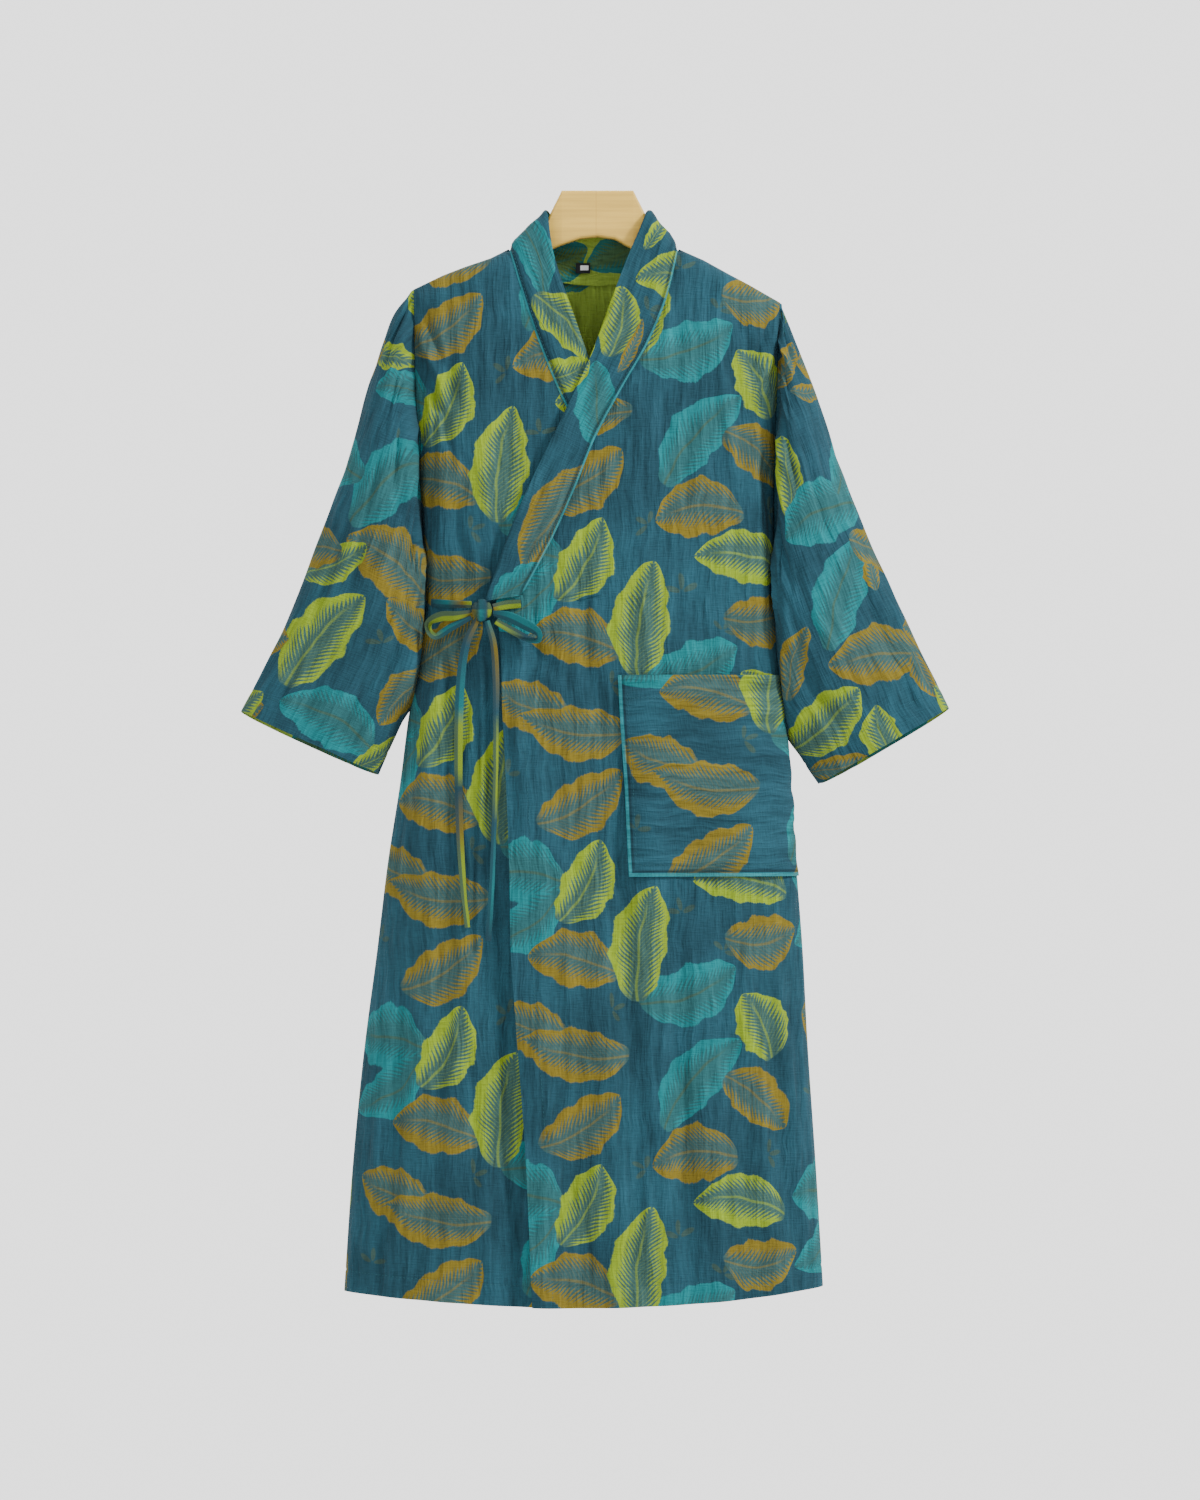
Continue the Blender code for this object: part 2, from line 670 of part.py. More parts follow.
def sleeve_grid(table, side):
    """Grid of a sleeve: rings from the armhole to the cuff."""
    shares = np.linspace(0, 1, SLEEVE_RINGS) ** SLEEVE_SPACING
    angles = np.linspace(0, 2 * math.pi, SLEEVE_POINTS, endpoint=False)
    grid = np.zeros((SLEEVE_RINGS, SLEEVE_POINTS, 3))
    for i, share in enumerate(shares):
        outer = np.array([curve(table, share, 1), 0.0, curve(table, share, 2)])
        lower = np.array([curve(table, share, 3), 0.0, curve(table, share, 4)])
        depth = curve(SLEEVE_SECTION, share, 1)
        power = 2 / curve(SLEEVE_SECTION, share, 2)
        for j, angle in enumerate(angles):
            c, s = math.cos(angle), math.sin(angle)
            along = math.copysign(abs(c) ** power, c)
            deep = math.copysign(abs(s) ** power, s)
            relief = 0.0
            for fold_angle, start, end, half, height in SLEEVE_FOLDS:
                turn = (math.degrees(angle) - fold_angle + 180) % 360 - 180
                fade = step((share - start) / SLEEVE_FADE) * step((end - share) / SLEEVE_FADE)
                relief += height * math.exp(-(turn / half) ** 2) * fade * step(share / SLEEVE_START_FADE)
            point = (outer + lower) / 2 + (outer - lower) / 2 * along
            point[1] = -deep * (depth + relief)
            if i == 0:
                point[0] = side * (half_width(point[2], side) + WALL / 2 + 2 * SEAM)
            grid[i, j] = point
    return grid


def sleeve_normals(grid):
    normal = normals(grid, True)
    middle = grid[5].mean(axis=0)
    if np.dot(normal[5, 0], grid[5, 0] - middle) < 0:
        normal = -normal
    normal[0, :, 0] = 0.0
    return unit(normal)


def pocket_grid(panel, panel_normal):
    """Pocket from the over panel's own points, moved out; open along its top."""
    first, last = POCKET_ROWS
    near, far = POCKET_COLUMNS
    grid = panel[first:last + 1, near:far + 1].copy()
    normal = panel_normal[first:last + 1, near:far + 1].copy()
    rows, columns = grid.shape[:2]
    seat = WALL + SEAM
    for i in range(rows):
        down = i / (rows - 1)
        for j in range(columns):
            across = math.sin(math.pi * j / (columns - 1)) ** POCKET_BULGE_POWER
            bulge = POCKET_BULGE * across * (1 - down ** 2)
            grid[i, j] += normal[i, j] * (seat + bulge)
    return grid, normal


def ribbon(name, table, colour, under=False):
    """Flat tie along its stations, each set in front of the cloth."""
    knots = np.arange(len(table), dtype=float)
    numbered = np.column_stack([knots, table])
    ticks = np.linspace(0, len(table) - 1, (len(table) - 1) * RIBBON_STEPS + 1)
    rows = [[curve(numbered, t, c) for c in range(1, 6)] for t in ticks]
    centres = []
    for x, z, stand, width, turn in rows:
        point = np.array(front_point(x, z, under))
        point[1] -= stand
        centres.append(point)
    centres = np.array(centres)
    tangents = unit(np.gradient(centres, axis=0))
    out = np.array([0.0, -1.0, 0.0])
    vertices = []
    for centre, tangent, row in zip(centres, tangents, rows):
        flat = unit(np.cross(tangent, out))
        lift = unit(np.cross(flat, tangent))
        angle = math.radians(row[4])
        wide = flat * math.cos(angle) + lift * math.sin(angle)
        thick = unit(np.cross(tangent, wide))
        for a, b in ((-1, -1), (1, -1), (1, 1), (-1, 1)):
            vertices.append(centre + wide * a * row[3] / 2 + thick * b * RIBBON_WALL / 2)
    faces = [(3, 2, 1, 0), tuple(len(vertices) - 4 + k for k in range(4))]
    for i in range(len(rows) - 1):
        for k in range(4):
            a, b = 4 * i + k, 4 * i + (k + 1) % 4
            faces.append((a, b, b + 4, a + 4))
    return make_object(name, vertices, faces, colour, CLOTH_ROUGHNESS)


def knot():
    """Knot of the bow: a flattened round solid with a waist where the ties wrap it."""
    work = bmesh.new()
    bmesh.ops.create_uvsphere(work, u_segments=KNOT_SEGMENTS, v_segments=KNOT_RINGS, radius=1.0)
    x, z = KNOT_CENTRE
    centre = np.array(front_point(x, z)) + np.array([0.0, -KNOT_STAND, 0.0])
    vertices = []
    for vertex in work.verts:
        p = np.array(vertex.co)
        squeeze = 1 - KNOT_SQUEEZE * math.exp(-(p[0] / KNOT_SQUEEZE_HALF) ** 2)
        vertices.append(centre + p * np.array(KNOT_HALF) * np.array([1, 1, squeeze]))
    faces = [tuple(v.index for v in face.verts) for face in work.faces]
    work.free()
    return make_object("tie_knot", vertices, faces, LIME, CLOTH_ROUGHNESS)


def hanger():
    """Wooden hanger: rounded sections along its arms, flat on top of the head."""
    vertices, faces = [], []
    quarter = [k * math.pi / 2 / HANGER_CORNER_STEPS for k in range(HANGER_CORNER_STEPS + 1)]
    for x, top, bottom, depth, flat in HANGER:
        radius = min(depth * (1 - flat), (top - bottom) * 0.48)
        ring = []
        for sign_y, sign_z in ((1, 1), (-1, 1), (-1, -1), (1, -1)):
            z_edge = top if sign_z > 0 else bottom
            centre = (sign_y * (depth - radius), z_edge - sign_z * radius)
            turns = quarter if sign_y * sign_z > 0 else quarter[::-1]
            for turn in turns:
                y = centre[0] + sign_y * radius * math.cos(turn)
                z = centre[1] + sign_z * radius * math.sin(turn)
                ring.append((x, y, z))
        count = len(ring)
        vertices.extend(ring)
    for i in range(len(HANGER) - 1):
        for k in range(count):
            a, b = i * count + k, i * count + (k + 1) % count
            faces.append((a, b, b + count, a + count))
    faces.append(tuple(range(count)))
    faces.append(tuple(reversed(range(len(vertices) - count, len(vertices)))))
    return make_object("hanger", vertices, faces, WOOD, WOOD_ROUGHNESS)


def size_label():
    """Small woven label on the inside of the back neckband."""
    x_mid, z_mid, width, height, thickness = LABEL
    xs = x_mid + width * np.linspace(-0.5, 0.5, 4)
    zs = z_mid + height * np.linspace(0.5, -0.5, 3)
    stand = BAND_WALL / 2 + SEAM + thickness / 2 + 0.0001
    grid = np.array([[back_point(x, z) for x in xs] for z in zs])
    grid[:, :, 1] -= stand
    normal = np.zeros_like(grid)
    normal[:, :, 1] = -1.0
    wall("size_label", grid, normal, thickness, LABEL_BLACK, LABEL_ROUGHNESS)


hanger()
over = front_panel(1, (OVER_EDGE, OVER_FREE), OVER_DROPS, OVER_COLUMNS, False)
over_normal = front_normals(over, 1)
wall("front_over", over, over_normal, WALL, TEAL)

under = front_panel(-1, (UNDER_EDGE, UNDER_FREE), UNDER_DROPS, UNDER_COLUMNS, True)
under_normal = front_normals(under, -1)
wall("front_under", under, under_normal, WALL, TEAL_DEEP)

back = back_panel()
back_normal = back_normals(back)
wall("back_panel", back, back_normal, WALL, TEAL)

for name, side, panel, panel_normal, column, is_under in (
        ("neckband_over", 1, over, over_normal, 1, False),
        ("neckband_under", -1, under, under_normal, 2, True)):
    band, seam_normals = band_grid(side, panel, panel_normal, back, back_normal, column, is_under)
    wall(name, band, band_normals(band, seam_normals), BAND_WALL, TEAL_DEEP)

for name, table, side in (("sleeve_right", SLEEVE_RIGHT, -1), ("sleeve_left", SLEEVE_LEFT, 1)):
    sleeve = sleeve_grid(table, side)
    wall(name, sleeve, sleeve_normals(sleeve), WALL, TEAL, ring=True)

pocket, pocket_normal = pocket_grid(over, over_normal)
wall("pocket", pocket, pocket_normal, WALL, TEAL_DEEP)

size_label()
knot()
ribbon("tie_lead_over", LEAD_OVER, LIME)
ribbon("tie_lead_under", LEAD_UNDER, TEAL, True)
ribbon("tie_loop_right", LOOP_RIGHT_WEARER, LIME, True)
ribbon("tie_loop_left", LOOP_LEFT_WEARER, TEAL)
ribbon("tie_tail_right", TAIL_RIGHT_WEARER, TEAL, True)
ribbon("tie_tail_left", TAIL_LEFT_WEARER, LIME)
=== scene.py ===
# Kimono robe of crinkled leaf-patterned gauze, tied at the waist, on a wooden hanger.
# Metres, +Z up, the front faces -Y; the origin is the middle of the hanger's flat top.
import math

import bmesh
import bpy
import numpy as np
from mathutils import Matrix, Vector


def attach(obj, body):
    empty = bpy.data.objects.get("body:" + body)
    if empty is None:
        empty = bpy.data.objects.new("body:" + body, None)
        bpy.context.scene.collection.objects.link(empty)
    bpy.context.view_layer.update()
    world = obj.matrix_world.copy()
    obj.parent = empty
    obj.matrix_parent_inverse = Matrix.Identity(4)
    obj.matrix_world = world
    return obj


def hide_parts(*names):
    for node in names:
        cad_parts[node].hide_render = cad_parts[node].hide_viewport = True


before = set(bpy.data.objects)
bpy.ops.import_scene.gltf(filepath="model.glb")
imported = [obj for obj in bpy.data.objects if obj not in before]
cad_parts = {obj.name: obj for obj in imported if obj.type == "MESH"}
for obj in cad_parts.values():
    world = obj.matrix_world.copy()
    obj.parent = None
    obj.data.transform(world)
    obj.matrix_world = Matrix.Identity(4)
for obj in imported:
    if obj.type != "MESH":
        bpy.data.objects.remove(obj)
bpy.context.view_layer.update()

# Thickness of the cloth, the bands and the ties, and the gap at a seam
WALL = 0.0018
BAND_WALL = 0.0034
RIBBON_WALL = 0.0014
SEAM = 0.0003
# How far the under side lies behind the over side, and the run in which it gets there
LAP = 0.0062
LAP_START = 0.05
LAP_RUN = 0.045
# Free edge of the over panel stands a little off the cloth behind it
EDGE_LIFT = 0.005
EDGE_LIFT_HALF = 0.03
EDGE_LIFT_TOP = -0.5
EDGE_LIFT_RUN = 0.2

# Roundness of the body's section, and of the cloth where it turns over the shoulder
SECTION_POWER = 2.6
SHOULDER_ROUND = 0.02
# Armhole: half depth, groove along its seam and the groove's half width
ARMHOLE_DEPTH = 0.021
ARMHOLE_GROOVE = 0.0095
ARMHOLE_GROOVE_HALF = 0.01
ARMPIT_Z = -0.415
WAIST_Z = -0.44

# Body's side edges: height, half width at the wearer's right (-X), half width at the left (+X)
BODY_SIDES = np.array([
    (-0.104, 0.192, 0.191),
    (-0.22, 0.19, 0.187),
    (-0.325, 0.184, 0.184),
    (-0.41, 0.18, 0.185),
    (-0.472, 0.184, 0.189),
    (-0.556, 0.198, 0.196),
    (-0.619, 0.206, 0.202),
    (-0.703, 0.219, 0.2075),
    (-0.797, 0.2305, 0.2145),
    (-0.892, 0.243, 0.2195),
    (-1.018, 0.2557, 0.228),
    (-1.168, 0.266, 0.237),
])
# Depth of the front and of the back from the side seams: height, front, back
BODY_DEPTHS = np.array([
    (0.0, 0.018, 0.018),
    (-0.06, 0.02, 0.02),
    (-0.1, 0.026, 0.024),
    (-0.2, 0.036, 0.034),
    (-0.32, 0.046, 0.042),
    (-0.42, 0.051, 0.046),
    (-0.55, 0.055, 0.05),
    (-0.8, 0.06, 0.054),
    (-1.168, 0.062, 0.056),
])
# Shoulder line from tip to tip, over the neck: x, z
SHOULDER = np.array([
    (-0.192, -0.104),
    (-0.162, -0.0895),
    (-0.14, -0.081),
    (-0.112, -0.0715),
    (-0.093, -0.062),
    (-0.0525, -0.022),
    (0.0525, -0.022),
    (0.085, -0.062),
    (0.111, -0.0735),
    (0.14, -0.0895),
    (0.158, -0.099),
    (0.191, -0.118),
])
# Hem line: x, z
HEM = np.array([
    (-0.266, -1.154),
    (-0.17, -1.162),
    (-0.07, -1.168),
    (0.05, -1.167),
    (0.15, -1.16),
    (0.237, -1.149),
])
# Soft vertical folds: x at the waist, x at the hem, height where it starts, half width, relief
FRONT_FOLDS = np.array([
    (-0.16, -0.212, -0.44, 0.02, 0.005),
    (-0.132, -0.16, -0.62, 0.017, 0.004),
    (-0.062, -0.052, -0.46, 0.018, 0.0045),
    (-0.015, 0.022, -0.66, 0.02, 0.005),
    (0.045, 0.075, -0.42, 0.017, 0.0035),
    (0.092, 0.13, -0.74, 0.022, 0.0055),
    (0.14, 0.186, -0.6, 0.018, 0.0045),
])
BACK_FOLDS = np.array([
    (-0.14, -0.205, -0.36, 0.022, 0.006),
    (-0.096, -0.132, -0.52, 0.019, 0.005),
    (-0.04, -0.058, -0.4, 0.022, 0.0065),
    (0.016, 0.02, -0.6, 0.018, 0.0045),
    (0.06, 0.086, -0.38, 0.021, 0.006),
    (0.104, 0.14, -0.56, 0.019, 0.005),
    (0.14, 0.192, -0.44, 0.02, 0.0055),
])
FOLD_FADE = 0.3
# How much fuller the folds hang than in the plain solid
FOLD_FULLNESS = 1.7

# Over panel's front edge: the neckband's seam down to the tie, then the free edge: z, x
OVER_EDGE = np.array([
    (-0.062, 0.085),
    (-0.123, 0.0688),
    (-0.166, 0.0499),
    (-0.204, 0.0278),
    (-0.27, -0.0068),
    (-0.304, -0.02),
    (-0.367, -0.048),
    (-0.423, -0.0777),
])
OVER_FREE = np.array([
    (-0.43, -0.106),
    (-0.472, -0.102),
    (-0.548, -0.0992),
    (-0.629, -0.095),
    (-0.709, -0.0919),
    (-0.806, -0.0898),
    (-0.866, -0.0856),
    (-1.005, -0.0751),
    (-1.168, -0.0677),
])
# Under panel's front edge, most of it hidden by the over panel: z, x
UNDER_EDGE = np.array([
    (-0.062, -0.093),
    (-0.165, -0.0593),
    (-0.222, -0.0352),
    (-0.29, 0.001),
    (-0.367, 0.042),
    (-0.423, 0.072),
])
UNDER_FREE = np.array([
    (-0.43, 0.098),
    (-0.709, 0.088),
    (-1.168, 0.064),
])
# Points across a neckband and across a tie, and the neckband's sewing beside its seam
BAND_SHARES = np.array([0.0, 0.03, 0.07, 0.12, 0.2, 0.29, 0.38, 0.47, 0.56, 0.65, 0.74, 0.82,
                        0.89, 0.945, 0.98, 1.0])
TIE_SHARES = np.array([-0.5, -0.47, -0.42, -0.33, -0.2, -0.07, 0.07, 0.2, 0.33, 0.42, 0.47, 0.5])
BAND_SEWING = 0.0045
# How far a neckband's end laps over the panel below it, and how its seam sinks in
BAND_END_LAP = 0.003
SEAM_DIP = 0.0024
SEAM_DIP_HALF = 0.0035
# Neckbands' free edges on the front: z, x of the over band, x of the under band
BAND_FREE = np.array([
    (-0.022, 0.0525, -0.0525),
    (-0.062, 0.0352, -0.047),
    (-0.12, 0.013, -0.029),
    (-0.178, -0.0085, -0.008),
    (-0.27, -0.052, 0.042),
    (-0.325, -0.078, 0.068),
    (-0.43, -0.117, 0.109),
])
# Height on the seam, and the height on the free edge straight across from it
BAND_ACROSS = np.array([
    (-0.062, -0.022),
    (-0.085, -0.054),
    (-0.123, -0.1),
    (-0.166, -0.147),
    (-0.204, -0.187),
    (-0.27, -0.253),
    (-0.367, -0.35),
    (-0.423, -0.4285),
])
# Back neck: share of the way from the side to the middle, seam z, free edge z
BACK_NECK = np.array([
    (0.0, -0.062, -0.022),
    (0.15, -0.076, -0.03),
    (0.4, -0.089, -0.037),
    (0.7, -0.096, -0.041),
    (1.0, -0.098, -0.042),
])
NECK_SIDE = {-1: 0.093, 1: 0.085}
BAND_TOP_SIDE = 0.0525
TOP_FADE = 0.3
# Body panels: length below the neck seam, the drops where the neckband ends, where the free
# edge starts and where its sewing starts, and the drop in which the shoulder's slant fades
PANEL_DROP = 1.106
BAND_END_DROP = 0.361
FREE_EDGE_DROP = 0.368
EDGE_SEWING_DROP = 0.375
SHOULDER_BLEND = 0.06
# Distance between rows, and between columns of the fronts (by side) and of the back
ROW_PITCH = 0.006
FRONT_PITCH = {-1: 0.009, 1: 0.0105}
BACK_PITCH = 0.015

# Sleeves: share of the length, outer edge x, z, lower edge x, z, for each side
SLEEVE_RIGHT = np.array([
    (0.0, -0.1936, -0.104, -0.1816, -0.415),
    (0.06, -0.211, -0.128, -0.1845, -0.432),
    (0.2, -0.235, -0.195, -0.187, -0.466),
    (0.4, -0.262, -0.285, -0.193, -0.508),
    (0.6, -0.292, -0.37, -0.2015, -0.544),
    (0.8, -0.329, -0.459, -0.218, -0.583),
    (1.0, -0.3722, -0.547, -0.2305, -0.6115),
])
SLEEVE_LEFT = np.array([
    (0.0, 0.1926, -0.118, 0.1868, -0.415),
    (0.06, 0.197, -0.134, 0.1892, -0.434),
    (0.2, 0.222, -0.199, 0.1922, -0.472),
    (0.4, 0.252, -0.283, 0.1968, -0.522),
    (0.6, 0.286, -0.367, 0.203, -0.562),
    (0.8, 0.325, -0.455, 0.215, -0.594),
    (1.0, 0.368, -0.543, 0.2336, -0.6215),
])
# Rings of a sleeve, and points round each
SLEEVE_COUNTS = (96, 128)
# Half depth and section power along a sleeve: share of the length, half depth, power
SLEEVE_SECTION = np.array([
    (0.0, 0.021, 2.0),
    (0.06, 0.038, 2.05),
    (0.2, 0.047, 2.2),
    (0.5, 0.043, 2.3),
    (0.8, 0.036, 2.3),
    (1.0, 0.03, 2.2),
])
# Long sleeve folds: angle from the outer edge, start and end of the length, half angle, relief
SLEEVE_FOLDS = np.array([
    (62.0, -0.1, 0.75, 14.0, 0.0045),
    (100.0, 0.3, 1.1, 15.0, 0.005),
    (136.0, -0.1, 0.7, 13.0, 0.004),
    (236.0, 0.1, 1.1, 15.0, 0.005),
    (290.0, -0.05, 0.8, 15.0, 0.0045),
])

# Crinkle, fine and broad: distance between bumps across and along the warp, height
CRINKLE_FINE = (0.0075, 0.042, 0.0009)
CRINKLE_BROAD = (0.018, 0.09, 0.0015)
# How deep the creases below are pressed
CREASE_DEPTH = 2.2
# Creases: start x, z, end x, z, half width, height (a trough is below zero)
FRONT_CREASES = np.array([
    (0.15, -0.125, 0.168, -0.24, 0.006, -0.0022),
    (0.184, -0.135, 0.16, -0.19, 0.004, -0.0024),
    (0.186, -0.16, 0.158, -0.235, 0.004, 0.002),
    (0.184, -0.19, 0.152, -0.29, 0.005, -0.0022),
    (-0.184, -0.125, -0.16, -0.185, 0.004, -0.0024),
    (-0.186, -0.15, -0.158, -0.225, 0.004, 0.002),
    (-0.184, -0.18, -0.15, -0.275, 0.005, -0.0022),
    (-0.174, -0.455, -0.14, -0.56, 0.006, -0.0022),
    (0.176, -0.445, 0.15, -0.56, 0.006, -0.0022),
    (0.172, -0.15, 0.176, -0.33, 0.005, -0.002),
    (0.128, -0.14, 0.14, -0.3, 0.008, 0.0018),
    (0.1, -0.2, 0.096, -0.42, 0.01, -0.0016),
    (0.04, -0.3, 0.06, -0.56, 0.009, 0.0018),
    (-0.02, -0.4, 0.01, -0.64, 0.008, -0.0018),
    (-0.07, -0.445, -0.05, -0.62, 0.007, -0.002),
    (-0.085, -0.45, -0.075, -0.7, 0.006, 0.002),
    (-0.095, -0.45, -0.03, -0.52, 0.006, -0.0016),
    (0.02, -0.66, 0.035, -0.9, 0.009, -0.0022),
    (-0.04, -0.7, -0.02, -0.96, 0.009, 0.002),
    (0.08, -0.76, 0.098, -1.13, 0.01, -0.0026),
    (0.16, -0.74, 0.2, -1.08, 0.009, -0.0022),
    (0.185, -0.8, 0.222, -1.14, 0.007, 0.002),
    (-0.03, -0.98, -0.02, -1.16, 0.01, -0.002),
    (0.05, -1.0, 0.056, -1.165, 0.008, 0.0018),
    (-0.15, -0.13, -0.16, -0.3, 0.006, -0.0022),
    (-0.172, -0.14, -0.172, -0.33, 0.005, -0.002),
    (-0.12, -0.16, -0.115, -0.36, 0.009, 0.0018),
    (-0.09, -0.22, -0.11, -0.42, 0.007, -0.0018),
    (-0.15, -0.33, -0.135, -0.44, 0.007, -0.002),
    (-0.13, -0.46, -0.15, -0.66, 0.008, -0.0024),
    (-0.16, -0.47, -0.195, -0.7, 0.008, 0.0022),
    (-0.115, -0.5, -0.12, -0.86, 0.007, -0.0026),
    (-0.15, -0.72, -0.17, -1.04, 0.01, -0.0024),
    (-0.19, -0.78, -0.225, -1.12, 0.009, -0.0022),
    (-0.12, -0.9, -0.112, -1.16, 0.009, 0.0018),
    (-0.215, -0.86, -0.24, -1.14, 0.007, 0.002),
    (-0.113, -0.48, -0.101, -0.8, 0.007, -0.0026),
    (-0.101, -0.79, -0.083, -1.15, 0.008, -0.0026),
])
BACK_CREASES = np.array([
    (-0.15, -0.13, -0.16, -0.32, 0.008, -0.0024),
    (-0.08, -0.14, -0.095, -0.38, 0.01, 0.002),
    (-0.02, -0.16, -0.01, -0.45, 0.009, -0.002),
    (0.06, -0.13, 0.075, -0.34, 0.01, 0.0018),
    (0.12, -0.15, 0.13, -0.42, 0.008, -0.0024),
    (0.16, -0.2, 0.165, -0.4, 0.007, 0.0018),
    (-0.12, -0.48, -0.15, -0.84, 0.01, -0.0026),
    (-0.06, -0.52, -0.08, -1.0, 0.011, -0.0024),
    (0.0, -0.56, 0.005, -1.08, 0.01, 0.0022),
    (0.05, -0.48, 0.06, -0.9, 0.009, -0.0026),
    (0.11, -0.5, 0.14, -0.96, 0.01, 0.0024),
    (0.16, -0.64, 0.2, -1.12, 0.009, -0.0024),
    (-0.18, -0.7, -0.225, -1.12, 0.009, 0.0022),
    (-0.02, -0.9, -0.03, -1.16, 0.009, -0.0018),
])
# Mean radius and length of a sleeve, which turn the creases' angles and shares into metres
SLEEVE_RADIUS = 0.09
SLEEVE_LENGTH = 0.42
# Sleeve creases: start share, angle, end share, angle, half width in metres, height
SLEEVE_CREASES = np.array([
    (0.02, 70.0, 0.22, 82.0, 0.006, -0.0026),
    (0.03, 50.0, 0.18, 58.0, 0.006, -0.0022),
    (0.02, 95.0, 0.2, 100.0, 0.006, 0.002),
    (0.04, 118.0, 0.3, 110.0, 0.007, -0.0024),
    (0.2, 60.0, 0.6, 70.0, 0.009, -0.0024),
    (0.35, 92.0, 0.85, 84.0, 0.009, 0.0022),
    (0.45, 120.0, 0.95, 108.0, 0.01, -0.0026),
    (0.6, 50.0, 0.98, 56.0, 0.009, -0.0022),
    (0.3, 140.0, 0.6, 150.0, 0.008, 0.002),
    (0.05, 240.0, 0.45, 250.0, 0.01, -0.0026),
    (0.1, 285.0, 0.6, 275.0, 0.01, 0.0022),
    (0.4, 225.0, 0.95, 235.0, 0.01, -0.0024),
    (0.55, 300.0, 0.98, 290.0, 0.009, -0.0022),
    (0.01, 20.0, 0.14, 34.0, 0.005, -0.0028),
    (0.01, 38.0, 0.12, 46.0, 0.004, 0.0024),
    (0.01, 60.0, 0.13, 64.0, 0.004, -0.0026),
    (0.01, 84.0, 0.11, 88.0, 0.004, 0.0022),
    (0.01, 108.0, 0.16, 128.0, 0.005, -0.0026),
    (0.02, 134.0, 0.2, 150.0, 0.005, 0.002),
])

# Depth of hems and cuffs, row of the hem's sewing, and the groove that sewing pulls in
HEM_FOLD = 0.022
CUFF_FOLD = 0.025
HEM_ROW = -8
GROOVE = 0.0007
GROOVE_HALF = 0.0016

# Pocket on the over panel: its sides as shares of the way from the side seam to the free
# edge, its top and bottom as drops below the neck seam, and how far its middle stands out
POCKET_SHARES = (0.008, 0.587)
POCKET_DROPS = (0.4454, 0.6606)
POCKET_BULGE = 0.0085
# How far it stands off all over; its rolled edge: distance in, half width, height; its sewing
POCKET_STAND = 0.0012
POCKET_ROLL = (0.0025, 0.0028, 0.0012)
POCKET_SEWING = 0.0075

# Knot of the bow: centre x, z, half sizes, and its distance in front of the cloth
KNOT_CENTRE = (-0.1205, -0.441)
KNOT_HALF = (0.012, 0.0068, 0.012)
KNOT_STAND = 0.0095
# Ties: whether they hang before the under panel, then a row for each station: x, z, distance
# in front of the cloth, width, and turn of the width out of the cloth's plane in degrees
TIES = {
    "tie_lead_over": (False, np.array([
        (-0.08, -0.4345, 0.0024, 0.01, 0.0),
        (-0.094, -0.4355, 0.0028, 0.011, 0.0),
        (-0.1088, -0.4385, 0.0093, 0.009, 0.0),
    ])),
    "tie_lead_under": (True, np.array([
        (-0.174, -0.433, 0.0026, 0.01, 0.0),
        (-0.156, -0.4345, 0.0036, 0.01, 0.0),
        (-0.1316, -0.4352, 0.0125, 0.008, 0.0),
    ])),
    "tie_loop_right": (True, np.array([
        (-0.1324, -0.444, 0.014, 0.007, 35.0),
        (-0.148, -0.447, 0.0185, 0.013, 35.0),
        (-0.164, -0.448, 0.0205, 0.014, 35.0),
        (-0.1755, -0.454, 0.0205, 0.014, 50.0),
        (-0.176, -0.4625, 0.018, 0.013, 55.0),
        (-0.168, -0.468, 0.014, 0.012, 45.0),
        (-0.152, -0.4585, 0.0125, 0.011, 35.0),
        (-0.1318, -0.4487, 0.015, 0.0055, 30.0),
    ])),
    "tie_loop_left": (False, np.array([
        (-0.1088, -0.4445, 0.01, 0.007, -20.0),
        (-0.093, -0.448, 0.016, 0.013, -25.0),
        (-0.076, -0.456, 0.0185, 0.015, -30.0),
        (-0.063, -0.464, 0.0185, 0.015, -50.0),
        (-0.062, -0.472, 0.015, 0.013, -60.0),
        (-0.071, -0.472, 0.011, 0.012, -50.0),
        (-0.086, -0.464, 0.0075, 0.011, -35.0),
        (-0.106, -0.453, 0.0065, 0.007, -20.0),
    ])),
    "tie_tail_right": (True, np.array([
        (-0.1262, -0.4522, 0.0138, 0.009, 0.0),
        (-0.137, -0.476, 0.0075, 0.012, 5.0),
        (-0.1425, -0.51, 0.005, 0.013, 5.0),
        (-0.1448, -0.56, 0.0042, 0.013, 0.0),
        (-0.145, -0.62, 0.0042, 0.012, 0.0),
        (-0.1432, -0.68, 0.0042, 0.011, 10.0),
        (-0.1395, -0.735, 0.0047, 0.01, 35.0),
        (-0.1352, -0.772, 0.0047, 0.009, 35.0),
    ])),
    "tie_tail_left": (False, np.array([
        (-0.115, -0.4522, 0.0095, 0.008, 0.0),
        (-0.1085, -0.476, 0.006, 0.01, -5.0),
        (-0.106, -0.51, 0.0048, 0.01, 0.0),
        (-0.1058, -0.56, 0.0046, 0.009, 30.0),
        (-0.1062, -0.62, 0.0046, 0.009, 40.0),
        (-0.1085, -0.69, 0.0046, 0.009, 40.0),
        (-0.111, -0.745, 0.0048, 0.009, 30.0),
        (-0.1138, -0.786, 0.0048, 0.009, 20.0),
    ])),
}
# Steps between two stations
TIE_STEPS = 10
# Share of a station's width that the loops and leads keep, and the hanging ends
TIE_NARROW = 0.86
TAIL_NARROW = 0.7

# Size label inside the back neck: middle x and z, width, height, thickness
LABEL = (-0.0152, -0.08, 0.015, 0.0105, 0.0008)
# Its bare patch: how far right and above the label's middle, width, height, thickness
LABEL_PATCH = (0.0014, 0.0004, 0.0085, 0.005, 0.0003)

